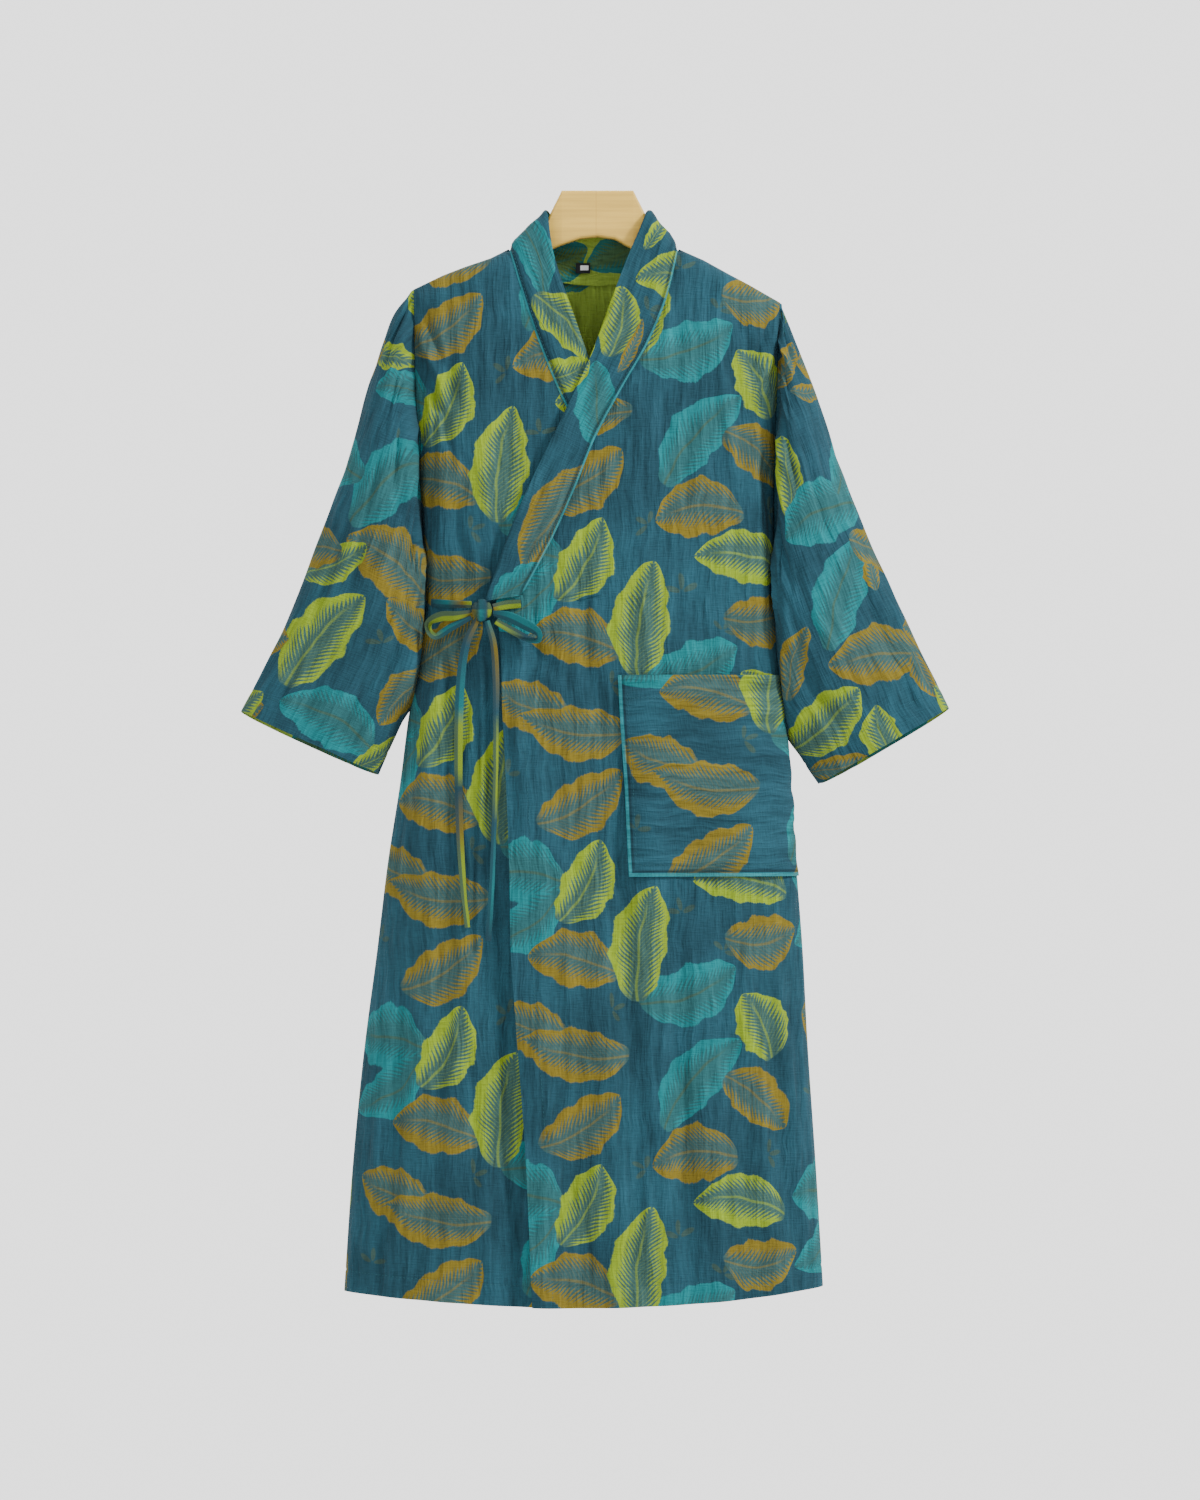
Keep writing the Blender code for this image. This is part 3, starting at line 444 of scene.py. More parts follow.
# Camera: x and z at the photo's middle, height of the view there, distance, sensor height
PHOTO_CENTRE = (0.0026, -0.587)
VIEW_HEIGHT = 1.575
CAMERA_DISTANCE = 8.0
SENSOR = 24.0

# Colours of the dyed yarns and of the wood, and of the painted highlight and painted shade along
# edges, sRGB
GROUND = (26, 56, 66)
GROUND_DEEP = (22, 47, 56)
INNER_LEAF = (34, 60, 62)
LIME = (94, 112, 26)
MUSTARD = (86, 75, 24)
TURQUOISE = (18, 84, 88)
OLIVE = (50, 60, 35)
REVERSE_GROUND = (96, 116, 44)
REVERSE_LEAF = (23, 74, 74)
REVERSE_INNER = (54, 72, 36)
WOOD = (180, 148, 68)
WOOD_DEEP = (158, 128, 60)
WOOD_PORE = (150, 114, 54)
WOOD_JOINT = (140, 104, 50)
# Painted highlight along a rolled edge or seam, and the painted shade beside it
EDGE_PAINTED_HIGHLIGHT = (30, 92, 98)
EDGE_PAINTED_SHADE = (9, 20, 24)
THREAD = (38, 78, 86)
LABEL_DARK = (24, 26, 29)
LABEL_PALE = (176, 178, 180)
FLOOR = (214, 214, 214)

# Least share of a leaf's colour between its inner strands
LEAF_FILL = {"lime": 0.05, "mustard": 0.04, "turquoise": 0.26}
# Outline of a leaf: share of its length, share of its half width
LEAF_SHAPE = ((0.0, 0.14), (0.08, 0.46), (0.25, 0.84), (0.45, 1.0), (0.65, 0.92), (0.82, 0.66),
              (0.93, 0.35), (1.0, 0.0))
# Distance between the fine strands inside a leaf, and how far they sweep towards its tip
STRAND = 0.0048
STRAND_SWEEP = 0.95
# Share of a charted width that a leaf keeps
LEAF_SLIM = 0.86

# The body's repeat: a square cell, and its leaves charted as
# colour, middle across and down the cell, length, width (shares of the cell),
# direction of the tip in degrees from the cell's right, bend
CELL = 0.336
LEAVES = [
    ("turquoise", 0.09, 0.0, 0.27, 0.235, 175.0, 0.32),
    ("turquoise", 0.105, 0.175, 0.29, 0.17, 215.0, -0.48),
    ("turquoise", 0.62, 0.385, 0.33, 0.205, 20.0, 0.38),
    ("turquoise", 0.635, 0.64, 0.37, 0.19, 48.0, -0.32),
    ("mustard", 0.85, 0.225, 0.25, 0.19, 8.0, 0.48),
    ("mustard", 0.105, 0.49, 0.24, 0.19, 160.0, -0.38),
    ("mustard", 0.255, 0.27, 0.3, 0.205, 170.0, 0.32),
    ("mustard", 0.255, 0.575, 0.345, 0.19, 172.0, -0.32),
    ("mustard", 0.285, 0.8, 0.31, 0.195, 32.0, 0.38),
    ("mustard", 0.635, 0.87, 0.28, 0.205, 186.0, 0.48),
    ("mustard", 0.84, 0.7, 0.27, 0.18, -38.0, -0.32),
    ("lime", 0.295, 0.045, 0.29, 0.19, 62.0, 0.38),
    ("lime", 0.455, 0.22, 0.37, 0.205, 82.0, -0.25),
    ("lime", 0.85, 0.475, 0.24, 0.2, 118.0, 0.32),
    ("lime", 0.785, 0.02, 0.31, 0.185, 172.0, 0.38),
]
# Faint sprigs: middle across and down the cell, size, turn
SPRIGS = [
    (0.37, 0.425, 0.05, 20.0),
    (0.59, 0.13, 0.052, 100.0),
    (0.72, 0.255, 0.046, 60.0),
    (0.48, 0.93, 0.05, 150.0),
    (0.87, 0.88, 0.048, 10.0),
    (0.04, 0.7, 0.05, 80.0),
]
# Where the repeat starts on the over panel (x, z), and how each panel is shifted in the cell
REPEAT_START = (-0.0992, -0.729)
SHIFT = {
    "front_over": (0.01, 0.016),
    "front_under": (0.1575, -0.1573),
    "back_panel": (0.06, 0.11),
    "pocket": (-0.1365, -0.0578),
}
# Leaves of the sleeves and, below, of the neckbands, charted where they fall on the front:
# colour, x, z, length, width, direction of the tip, bend
SLEEVE_CELL = (0.38, 0.58)
SLEEVE_RIGHT_LEAVES = [
    ("lime", -0.195, -0.12, 0.046, 0.017, 100.0, 0.2),
    ("lime", -0.218, -0.175, 0.05, 0.034, -15.0, 0.3),
    ("turquoise", -0.207, -0.207, 0.059, 0.042, 172.0, 0.3),
    ("turquoise", -0.22, -0.302, 0.126, 0.078, 32.0, -0.3),
    ("mustard", -0.218, -0.388, 0.124, 0.078, 143.0, 0.3),
    ("mustard", -0.197, -0.458, 0.088, 0.05, 145.0, -0.3),
    ("mustard", -0.214, -0.526, 0.078, 0.048, 228.0, 0.3),
    ("lime", -0.289, -0.388, 0.084, 0.046, 18.0, 0.3),
    ("lime", -0.301, -0.463, 0.124, 0.073, 50.0, -0.3),
    ("turquoise", -0.283, -0.549, 0.113, 0.067, 152.0, 0.4),
    ("lime", -0.232, -0.593, 0.059, 0.032, 35.0, 0.2),
    ("mustard", -0.375, -0.543, 0.046, 0.032, 0.0, 0.2),
]
SLEEVE_LEFT_LEAVES = [
    ("mustard", 0.198, -0.186, 0.063, 0.029, 60.0, 0.2),
    ("mustard", 0.226, -0.21, 0.046, 0.021, 10.0, 0.3),
    ("lime", 0.202, -0.302, 0.088, 0.032, 96.0, 0.2),
    ("turquoise", 0.238, -0.335, 0.101, 0.076, 205.0, 0.4),
    ("turquoise", 0.26, -0.415, 0.128, 0.063, 70.0, -0.3),
    ("mustard", 0.297, -0.484, 0.101, 0.071, 186.0, 0.3),
    ("mustard", 0.347, -0.508, 0.057, 0.032, 300.0, 0.3),
    ("mustard", 0.209, -0.493, 0.078, 0.036, 75.0, -0.3),
    ("lime", 0.244, -0.558, 0.103, 0.063, 42.0, 0.3),
    ("lime", 0.299, -0.575, 0.069, 0.046, 108.0, -0.3),
    ("mustard", 0.253, -0.606, 0.067, 0.032, 15.0, 0.2),
    ("mustard", 0.297, -0.399, 0.036, 0.023, 100.0, 0.2),
]
# Leaves on the backs of both sleeves: colour, distance round from the outer edge, distance
# along it, length, width, direction of the tip, bend
SLEEVE_BACK_LEAVES = [
    ("lime", 0.062, 0.004, 0.06, 0.036, 120.0, 0.3),
    ("mustard", 0.045, 0.066, 0.104, 0.064, 30.0, 0.3),
    ("turquoise", 0.03, 0.158, 0.108, 0.066, 150.0, -0.3),
    ("lime", 0.078, 0.236, 0.11, 0.066, 70.0, 0.3),
    ("mustard", 0.018, 0.262, 0.088, 0.056, 200.0, 0.3),
    ("turquoise", 0.112, 0.332, 0.112, 0.068, -30.0, 0.3),
    ("mustard", 0.042, 0.372, 0.104, 0.064, 20.0, -0.3),
    ("lime", 0.146, 0.418, 0.09, 0.056, 110.0, 0.3),
    ("mustard", 0.096, 0.446, 0.09, 0.052, 170.0, 0.3),
    ("lime", 0.016, 0.452, 0.078, 0.046, 60.0, -0.3),
]
BAND_CELL = (0.3, 0.5)
BAND_LEAVES = [
    ("lime", 0.097, -0.089, 0.115, 0.061, 178.0, 0.3),
    ("lime", 0.024, -0.141, 0.076, 0.052, 80.0, 0.3),
    ("mustard", 0.037, -0.167, 0.063, 0.015, 65.0, 0.2),
    ("turquoise", -0.001, -0.23, 0.101, 0.052, 98.0, -0.3),
    ("mustard", -0.039, -0.337, 0.145, 0.069, 228.0, 0.3),
    ("turquoise", -0.065, -0.062, 0.101, 0.042, 110.0, 0.3),
    ("lime", -0.032, -0.14, 0.088, 0.052, -48.0, -0.3),
    ("lime", -0.039, -0.197, 0.073, 0.042, 20.0, 0.3),
    ("turquoise", -0.081, -0.414, 0.063, 0.042, 40.0, 0.2),
    ("lime", 0.06, -0.046, 0.042, 0.021, 60.0, 0.2),
]
# Faint sprigs of those pieces, across and down their own cells in metres, size, turn
OTHER_SPRIGS = [
    (0.055, 0.13, 0.0165, 30.0),
    (0.1, 0.33, 0.0165, 120.0),
    (0.15, 0.46, 0.016, 70.0),
    (0.19, 0.24, 0.0165, 200.0),
]
# Depth that the back of a cuff hangs below its front
CUFF_DROP = 0.0045
# Painted highlight along the pocket's roll and along a neckband's seam, with painted shade beside it:
# its width
POCKET_PAINTED_RIM = 0.003
BAND_PAINTED_RIM = 0.0009
# How far a sleeve's lower edge presses into the body's side, and to which share of its length
UNDERARM_PRESS = 0.0062
UNDERARM_SHARES = {-1: 0.52, 1: 0.66}

# Stitches: distance apart, length, thickness, rings as place along and size, turns round
STITCH_PITCH = 0.0042
STITCH_LENGTH = 0.0027
STITCH_THICK = 0.00042
STITCH_RINGS = ((-0.5, 0.15), (-0.3, 0.9), (0.0, 1.0), (0.3, 0.9), (0.5, 0.15))
STITCH_TURNS = np.linspace(0, 2 * math.pi, 6, endpoint=False)
# Lights: place, height they point at, size, power
LIGHTS = {
    "key": ((2.9, -1.9, 1.8), -0.5, 0.7, 300.0),
    "fill": ((-2.2, -2.6, 0.1), -0.6, 1.8, 14.0),
    "rim": ((-0.4, 2.4, 1.0), -0.5, 1.6, 60.0),
}
WORLD_STRENGTH = 2.2


def linear(colour):
    """Linear light of an sRGB colour given as 0 to 255."""
    shares = [c / 255 for c in colour]
    return tuple(s / 12.92 if s <= 0.04045 else ((s + 0.055) / 1.055) ** 2.4 for s in shares)


def curve(table, at, column=1):
    """Smooth value of a table's column at a height or share, by cubic pieces."""
    order = np.argsort(table[:, 0])
    knots = table[order, 0]
    values = table[order, column]
    slopes = np.gradient(values, knots)
    at = np.clip(at, knots[0], knots[-1])
    k = np.clip(np.searchsorted(knots, at) - 1, 0, len(knots) - 2)
    span = knots[k + 1] - knots[k]
    t = (at - knots[k]) / span
    low = (1 + 2 * t) * (1 - t) ** 2 * values[k] + t * (1 - t) ** 2 * span * slopes[k]
    high = t * t * (3 - 2 * t) * values[k + 1] - t * t * (1 - t) * span * slopes[k + 1]
    return low + high


def straight(table, at, column=1):
    """Value of a table's column at a height or share, by straight pieces."""
    order = np.argsort(table[:, 0])
    return np.interp(at, table[order, 0], table[order, column])


def step(value):
    """Smooth step from 0 to 1."""
    t = np.clip(value, 0.0, 1.0)
    return t * t * (3 - 2 * t)


def unit(vectors):
    return vectors / np.maximum(np.linalg.norm(vectors, axis=-1, keepdims=True), 1e-12)


def run_length(points):
    """Distance along a line of points, from its first."""
    return np.concatenate([[0.0], np.cumsum(np.linalg.norm(np.diff(points, axis=0), axis=1))])


def tip(side):
    """Shoulder tip (x, z) on a side: -1 is the wearer's right, 1 the left."""
    return SHOULDER[0] if side < 0 else SHOULDER[-1]


def half_width(z, x):
    """Distance of the side seam from the middle, on the side where x lies."""
    return np.where(np.asarray(x) < 0, curve(BODY_SIDES, z, 1), curve(BODY_SIDES, z, 2))


def armhole(z, x):
    """Half depth of the armhole at a height, an ellipse from shoulder tip to armpit."""
    top = np.where(np.asarray(x) < 0, tip(-1)[1], tip(1)[1])
    middle = (top + ARMPIT_Z) / 2
    reach = (top - ARMPIT_Z) / 2
    return ARMHOLE_DEPTH * np.sqrt(np.maximum(0.0, 1 - ((z - middle) / reach) ** 2))


def folds(table, x, z):
    """Relief of the vertical folds at points."""
    share = (WAIST_Z - z) / (WAIST_Z - HEM[2, 1])
    total = 0.0
    for x_waist, x_hem, start, half, relief in table:
        middle = x_waist + (x_hem - x_waist) * share
        total = total + relief * np.exp(-((x - middle) / half) ** 2) * step((start - z) / FOLD_FADE)
    return total * FOLD_FULLNESS


def crease_fade(t):
    """Strength of a crease along its length, softer at both ends."""
    return np.sin(math.pi * (0.08 + 0.84 * t)) ** 0.8


def creases(table, x, z):
    """Relief of creases, each along a slightly wandering stretch."""
    total = np.zeros_like(x)
    for x0, z0, x1, z1, half, height in table:
        length = math.hypot(x1 - x0, z1 - z0)
        along = ((x - x0) * (x1 - x0) + (z - z0) * (z1 - z0)) / length ** 2
        t = np.clip(along, 0, 1)
        wander = 0.25 * half * np.sin(9 * t + 40 * x0)
        off = np.hypot(x - x0 - t * (x1 - x0) + wander, z - z0 - t * (z1 - z0))
        total += CREASE_DEPTH * height * np.exp(-(off / half) ** 2) * crease_fade(t)
    return total


def body_depth(x, z, front):
    """Distance of the cloth's middle layer from the side seams' plane."""
    q = np.minimum(np.abs(x) / half_width(z, x), 1.0)
    across = (1 - q ** SECTION_POWER) ** (1 / SECTION_POWER)
    drop = np.clip((straight(SHOULDER, x) - z) / SHOULDER_ROUND, 0.0, 1.0)
    rise = np.sqrt(1 - (1 - drop) ** 2)
    edge = armhole(z, x)
    full = curve(BODY_DEPTHS, z, 1 if front else 2) * rise
    relief = folds(FRONT_FOLDS if front else BACK_FOLDS, x, z)
    inwards = (half_width(z, x) - np.abs(x)) / ARMHOLE_GROOVE_HALF
    groove = ARMHOLE_GROOVE * np.exp(-inwards ** 2) * edge / ARMHOLE_DEPTH
    return edge - groove + (np.maximum(full - edge, 0.0) + relief) * across


def over_reach(z):
    """x of the over side's leftmost edge at a height."""
    return np.where(z > OVER_FREE[0, 0], curve(BAND_FREE, z, 1), curve(OVER_FREE, z))


def lap(x, z):
    """How far the under side lies behind the over side."""
    return LAP * step((x - over_reach(z) + LAP_START) / LAP_RUN)


def edge_lift(x, z):
    """How far the over side's free edge stands forward of its own cloth."""
    near = np.exp(-((x - over_reach(z)) / EDGE_LIFT_HALF) ** 2)
    return EDGE_LIFT * near * step((EDGE_LIFT_TOP - z) / EDGE_LIFT_RUN)


def front_points(x, z, under=False):
    y = -SEAM / 2 - body_depth(x, z, True)
    y = y + lap(x, z) if under else y - edge_lift(x, z)
    return np.stack([x, y, z], axis=-1)


def back_points(x, z):
    return np.stack([x, SEAM / 2 + body_depth(x, z, False), z], axis=-1)


def normals(grid, at, towards, ring=False):
    """Unit normals of a grid, turned so that the one at a row and column faces a given way.

    A ring closes in its second direction.
    """
    along = np.gradient(grid, axis=0)
    if ring:
        across = np.roll(grid, -1, axis=1) - np.roll(grid, 1, axis=1)
    else:
        across = np.gradient(grid, axis=1)
    normal = unit(np.cross(along, across))
    return -normal if normal[at] @ np.asarray(towards) < 0 else normal


# Crinkle of the gauze: smooth noise on a fixed lattice, longer along the warp
LATTICE = np.random.default_rng(11).random((97, 101))


def noise(u, v):
    """Smooth noise from -1 to 1 with one bump to each unit."""
    iu, iv = np.floor(u).astype(int), np.floor(v).astype(int)
    fu, fv = step(u - iu), step(v - iv)
    rows, columns = LATTICE.shape

    def at(a, b):
        return LATTICE[(iu + a) % rows, (iv + b) % columns]

    low = at(0, 0) * (1 - fu) + at(1, 0) * fu
    high = at(0, 1) * (1 - fu) + at(1, 1) * fu
    return (low * (1 - fv) + high * fv) * 2 - 1


def crinkle(u, v):
    """Height of the crinkle at cloth coordinates in metres, warp along v."""
    wander = 0.004 * noise(v / 0.045, u / 0.12 + 7)
    across, along, height = CRINKLE_FINE
    fine = height * noise((u + wander) / across, v / along)
    across, along, height = CRINKLE_BROAD
    return fine + height * noise((u + wander) / across + 31, v / along + 5)


def place_object(name, data):
    thing = bpy.data.objects.new(name, data)
    bpy.context.scene.collection.objects.link(thing)
    return thing


def wall(name, grid, normal, thickness, uv, materials, ring=False, layers=None):
    """Cloth wall with an outer face, a reverse and closed edges; thickness may vary by point."""
    rows, columns = grid.shape[:2]
    half = np.broadcast_to(np.asarray(thickness) / 2, (rows, columns))[..., None]
    vertices = np.concatenate([(grid + normal * half).reshape(-1, 3),
                               (grid - normal * half).reshape(-1, 3)])
    shift = rows * columns
    spans = columns if ring else columns - 1
    i, j = np.meshgrid(np.arange(rows - 1), np.arange(spans), indexing="ij")
    a = i * columns + j
    b = i * columns + (j + 1) % columns
    quads = np.stack([a, b, b + columns, a + columns], axis=-1).reshape(-1, 4)
    faces = [quads, quads[:, ::-1] + shift]
    ii, jj = np.arange(rows - 1), np.arange(spans)
    edges = [np.stack([row * columns + jj, row * columns + (jj + 1) % columns])
             for row in (0, rows - 1)]
    if not ring:
        edges += [np.stack([ii * columns + column, (ii + 1) * columns + column])
                  for column in (0, columns - 1)]
    for pair, turned in zip(edges, (True, False, False, True)):
        p, q = pair[::-1] if turned else pair
        faces.append(np.stack([q, q + shift, p + shift, p], axis=-1))
    slots = np.concatenate([np.full(len(f), n == 1) for n, f in enumerate(faces)])
    faces = np.concatenate(faces)
    mesh = bpy.data.meshes.new(name)
    mesh.from_pydata(vertices.tolist(), [], faces.tolist())
    for material in materials:
        mesh.materials.append(material)
    mesh.polygons.foreach_set("material_index", slots.astype(np.int32))
    mesh.polygons.foreach_set("use_smooth", np.ones(len(faces), dtype=bool))
    corners = np.empty(len(mesh.loops), dtype=np.int32)
    mesh.loops.foreach_get("vertex_index", corners)
    around = np.zeros(len(corners), dtype=bool)
    if ring:
        columns_of = faces % columns
        last_span = (columns_of.max(axis=1) == columns - 1) & (columns_of.min(axis=1) == 0)
        around = np.repeat(last_span, 4) & (corners % columns == 0)
    rows_of = (corners % shift) // columns
    for layer_name, places in {"UVMap": uv, "Grain": uv, **(layers or {})}.items():
        flat = np.concatenate([places.reshape(-1, 2)] * 2)[corners]
        # The last span of a tube runs on past the seam instead of back across the cloth
        onward = places[:, -1, 0] * 2 - places[:, -2, 0]
        flat[around, 0] = onward[rows_of[around]]
        mesh.uv_layers.new(name=layer_name).data.foreach_set("uv", flat.reshape(-1))
    work = bmesh.new()
    work.from_mesh(mesh)
    if work.calc_volume(signed=True) < 0:
        bmesh.ops.reverse_faces(work, faces=work.faces)
    work.to_mesh(mesh)
    work.free()
    mesh.set_sharp_from_angle(angle=math.radians(60))
    return place_object(name, mesh)


def declare(piece, node):
    """The piece rides on the robe and stands in for its solid, which is hidden."""
    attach(piece, "root")
    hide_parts(node)


# Shader graphs

def put(tree, socket, value):
    if isinstance(value, bpy.types.NodeSocket):
        tree.links.new(value, socket)
    elif value is not None:
        socket.default_value = value


class Graph:
    """Short ways to add nodes to a shader tree."""

    def __init__(self, tree):
        self.tree = tree

    def node(self, kind, **settings):
        made = self.tree.nodes.new(kind)
        for key, value in settings.items():
            setattr(made, key, value)
        return made

    def math(self, operation, a, b=None):
        made = self.node("ShaderNodeMath", operation=operation)
        put(self.tree, made.inputs[0], a)
        put(self.tree, made.inputs[1], b)
        return made.outputs[0]

    def add(self, a, b):
        return self.math("ADD", a, b)

    def sub(self, a, b):
        return self.math("SUBTRACT", a, b)

    def mul(self, a, b):
        return self.math("MULTIPLY", a, b)

    def div(self, a, b):
        return self.math("DIVIDE", a, b)

    def vector(self, operation, a, b=None, scale=None):
        made = self.node("ShaderNodeVectorMath", operation=operation)
        put(self.tree, made.inputs[0], a)
        put(self.tree, made.inputs[1], b)
        if scale is not None:
            put(self.tree, made.inputs["Scale"], scale)
        return made.outputs["Vector"]

    def smooth(self, value, low, high, start=0.0, end=1.0):
        made = self.node("ShaderNodeMapRange", interpolation_type="SMOOTHSTEP")
        for socket, given in zip(made.inputs, (value, low, high, start, end)):
            put(self.tree, socket, given)
        return made.outputs[0]

    def mix(self, share, a, b, blend="MIX"):
        made = self.node("ShaderNodeMix", data_type="RGBA", blend_type=blend)
        put(self.tree, made.inputs[0], share)
        put(self.tree, made.inputs[6], a)
        put(self.tree, made.inputs[7], b)
        return made.outputs[2]

    def noise(self, vector, scale, detail=2.0, rough=0.5, output="Fac"):
        made = self.node("ShaderNodeTexNoise")
        put(self.tree, made.inputs["Vector"], vector)
        made.inputs["Scale"].default_value = scale
        made.inputs["Detail"].default_value = detail
        made.inputs["Roughness"].default_value = rough
        return made.outputs[output]

    def uv(self, layer):
        return self.node("ShaderNodeUVMap", uv_map=layer).outputs[0]

    def parts(self, vector):
        made = self.node("ShaderNodeSeparateXYZ")
        put(self.tree, made.inputs[0], vector)
        return made.outputs

    def tinted(self, colour, tint):
        """Colour made lighter or darker by a number."""
        shade = self.node("ShaderNodeCombineXYZ")
        for socket in shade.inputs:
            put(self.tree, socket, tint)
        return self.mix(1.0, colour, shade.outputs[0], "MULTIPLY")

    def group(self, group, values):
        """Colour that a node group gives with its sockets set."""
        made = self.node("ShaderNodeGroup", node_tree=group)
        for key, value in values.items():
            put(self.tree, made.inputs[key], value)
        return made.outputs[0]

    def bump(self, sockets, height, strength, distance):
        made = self.node("ShaderNodeBump")
        made.inputs["Strength"].default_value = strength
        made.inputs["Distance"].default_value = distance
        put(self.tree, made.inputs["Height"], height)
        put(self.tree, sockets["Normal"], made.outputs[0])


def new_group(name, sockets):
    """Node group with its given sockets and one colour out; the graph, its inputs and its output."""
    tree = bpy.data.node_groups.new(name, "ShaderNodeTree")
    for label, kind in sockets.items():
        tree.interface.new_socket(name=label, in_out="INPUT", socket_type="NodeSocket" + kind)
    tree.interface.new_socket(name="Colour", in_out="OUTPUT", socket_type="NodeSocketColor")
    g = Graph(tree)
    return g, g.node("NodeGroupInput").outputs, g.node("NodeGroupOutput").inputs[0]


def from_middle(g, given):
    """Place measured from a motif's middle, wrapped in its cell and turned along the motif."""
    away = g.vector("SUBTRACT", given["Place"], given["Middle"])
    wrap = g.node("ShaderNodeVectorMath", operation="WRAP")
    put(g.tree, wrap.inputs[0], away)
    put(g.tree, wrap.inputs[1], given["Half cell"])
    put(g.tree, wrap.inputs[2], g.vector("SCALE", given["Half cell"], scale=-1.0))
    turn = g.node("ShaderNodeVectorRotate", rotation_type="Z_AXIS")
    put(g.tree, turn.inputs["Vector"], wrap.outputs[0])
    put(g.tree, turn.inputs["Angle"], given["Turn"])
    parts = g.parts(turn.outputs[0])
    return turn.outputs[0], parts[0], parts[1]


def leaf_group():
    """One leaf of the repeat over the colour it is given: a solid rim and fine inner strands."""
    g, given, result = new_group("woven_leaf", {
        "Place": "Vector", "Half cell": "Vector", "Under": "Color", "Colour": "Color",
        "Inner": "Color", "Rib": "Color", "Middle": "Vector", "Turn": "Float", "Length": "Float",
        "Width": "Float", "Fill": "Float", "Bend": "Float", "Phase": "Float", "Rag": "Float"})
    _, along, across = from_middle(g, given)
    x = g.add(g.div(along, given["Length"]), 0.5)
    off = g.sub(x, 0.5)
    sag = g.mul(g.mul(off, off), given["Bend"])
    across = g.add(across, g.mul(sag, given["Length"]))
    y = g.mul(g.div(across, given["Width"]), 2.0)
    side = g.math("SIGN", y)
    shape = g.node("ShaderNodeFloatCurve")
    points = shape.mapping.curves[0].points
    points[0].location = LEAF_SHAPE[0]
    points[1].location = LEAF_SHAPE[-1]
    for place in LEAF_SHAPE[1:-1]:
        points.new(*place)
    shape.mapping.update()
    put(g.tree, shape.inputs["Value"], x)
    long_wave = g.add(g.mul(x, 22.0), given["Phase"])
    long_wave = g.math("SINE", g.add(long_wave, g.mul(side, 1.9)))
    short_wave = g.add(g.mul(x, 43.0), g.mul(given["Phase"], 2.3))
    short_wave = g.math("SINE", g.sub(short_wave, side))
    ripple = g.add(g.mul(long_wave, 0.06), g.mul(short_wave, 0.025))
    reach = g.mul(shape.outputs[0], g.add(ripple, 1.0))
    r = g.div(g.math("ABSOLUTE", y), g.math("MAXIMUM", reach, 0.002))
    r = g.add(r, g.mul(g.sub(given["Rag"], 0.5), 0.12))
    within = g.smooth(r, 0.97, 1.03, 1.0, 0.0)
    within = g.mul(within, g.smooth(x, 0.0, 0.02))
    within = g.mul(within, g.smooth(x, 0.985, 1.0, 1.0, 0.0))
    sweep = g.sub(along, g.mul(g.math("ABSOLUTE", across), STRAND_SWEEP))
    wander = g.mul(given["Rag"], 1.6)
    stripe = g.add(g.mul(sweep, 2 * math.pi / STRAND), wander)
    stripe = g.add(g.mul(g.math("SINE", stripe), 0.5), 0.5)
    # The solid rim is broader on one side and towards the tip
    edge = g.sub(0.86, g.mul(x, 0.22))
    edge = g.add(edge, g.mul(side, 0.1))
    deep = g.math("MINIMUM", g.div(g.sub(edge, r), 0.5), 1.0)
    cover = g.smooth(g.sub(stripe, deep), -0.22, 0.3)
    quiet = g.sub(1.0, g.mul(g.math("MAXIMUM", deep, 0.0), 0.3))
    cover = g.mul(g.mul(cover, quiet), g.smooth(x, 0.0, 0.14))
    cover = g.mul(g.math("MAXIMUM", cover, given["Fill"]), within)
    colour = g.mix(within, given["Under"], given["Inner"])
    colour = g.mix(cover, colour, given["Colour"])
    rib = g.smooth(g.math("ABSOLUTE", y), 0.02, 0.07, 1.0, 0.0)
    rib = g.mul(rib, g.smooth(x, 0.62, 0.92, 1.0, 0.0))
    rib = g.mul(g.mul(rib, within), 0.48)
    put(g.tree, result, g.mix(rib, colour, given["Rib"]))
    return g.tree


def sprig_group():
    """One faint sprig, small petals fanned from a stem, over the colour it is given."""
    g, given, result = new_group("woven_sprig", {
        "Place": "Vector", "Half cell": "Vector", "Under": "Color", "Colour": "Color",
        "Middle": "Vector", "Turn": "Float", "Size": "Float"})
    away, along, across = from_middle(g, given)
    angle = g.math("ARCTAN2", across, along)
    length = g.node("ShaderNodeVectorMath", operation="LENGTH")
    put(g.tree, length.inputs[0], away)
    r = g.div(length.outputs["Value"], given["Size"])
    petal = g.math("ABSOLUTE", g.math("COSINE", g.mul(angle, 2.5)))
    fan = g.smooth(g.math("COSINE", angle), -0.35, 0.1)
    reach = g.mul(g.math("POWER", petal, 1.6), fan)
    share = g.smooth(g.sub(r, reach), -0.12, 0.02, 0.42, 0.0)
    share = g.mul(share, g.smooth(r, 0.06, 0.22))
    put(g.tree, result, g.mix(share, given["Under"], given["Colour"]))
    return g.tree


def rgba(colour):
    return (*linear(colour), 1.0)


def new_material(name, rough, specular, sheen=0.0):
    """The material, its graph and the sockets of its shader."""
    material = bpy.data.materials.new(name)
    material.use_nodes = True
    sockets = material.node_tree.nodes["Principled BSDF"].inputs
    sockets["Roughness"].default_value = rough
    sockets["Specular IOR Level"].default_value = specular
    sockets["Sheen Weight"].default_value = sheen
    return material, Graph(material.node_tree), sockets


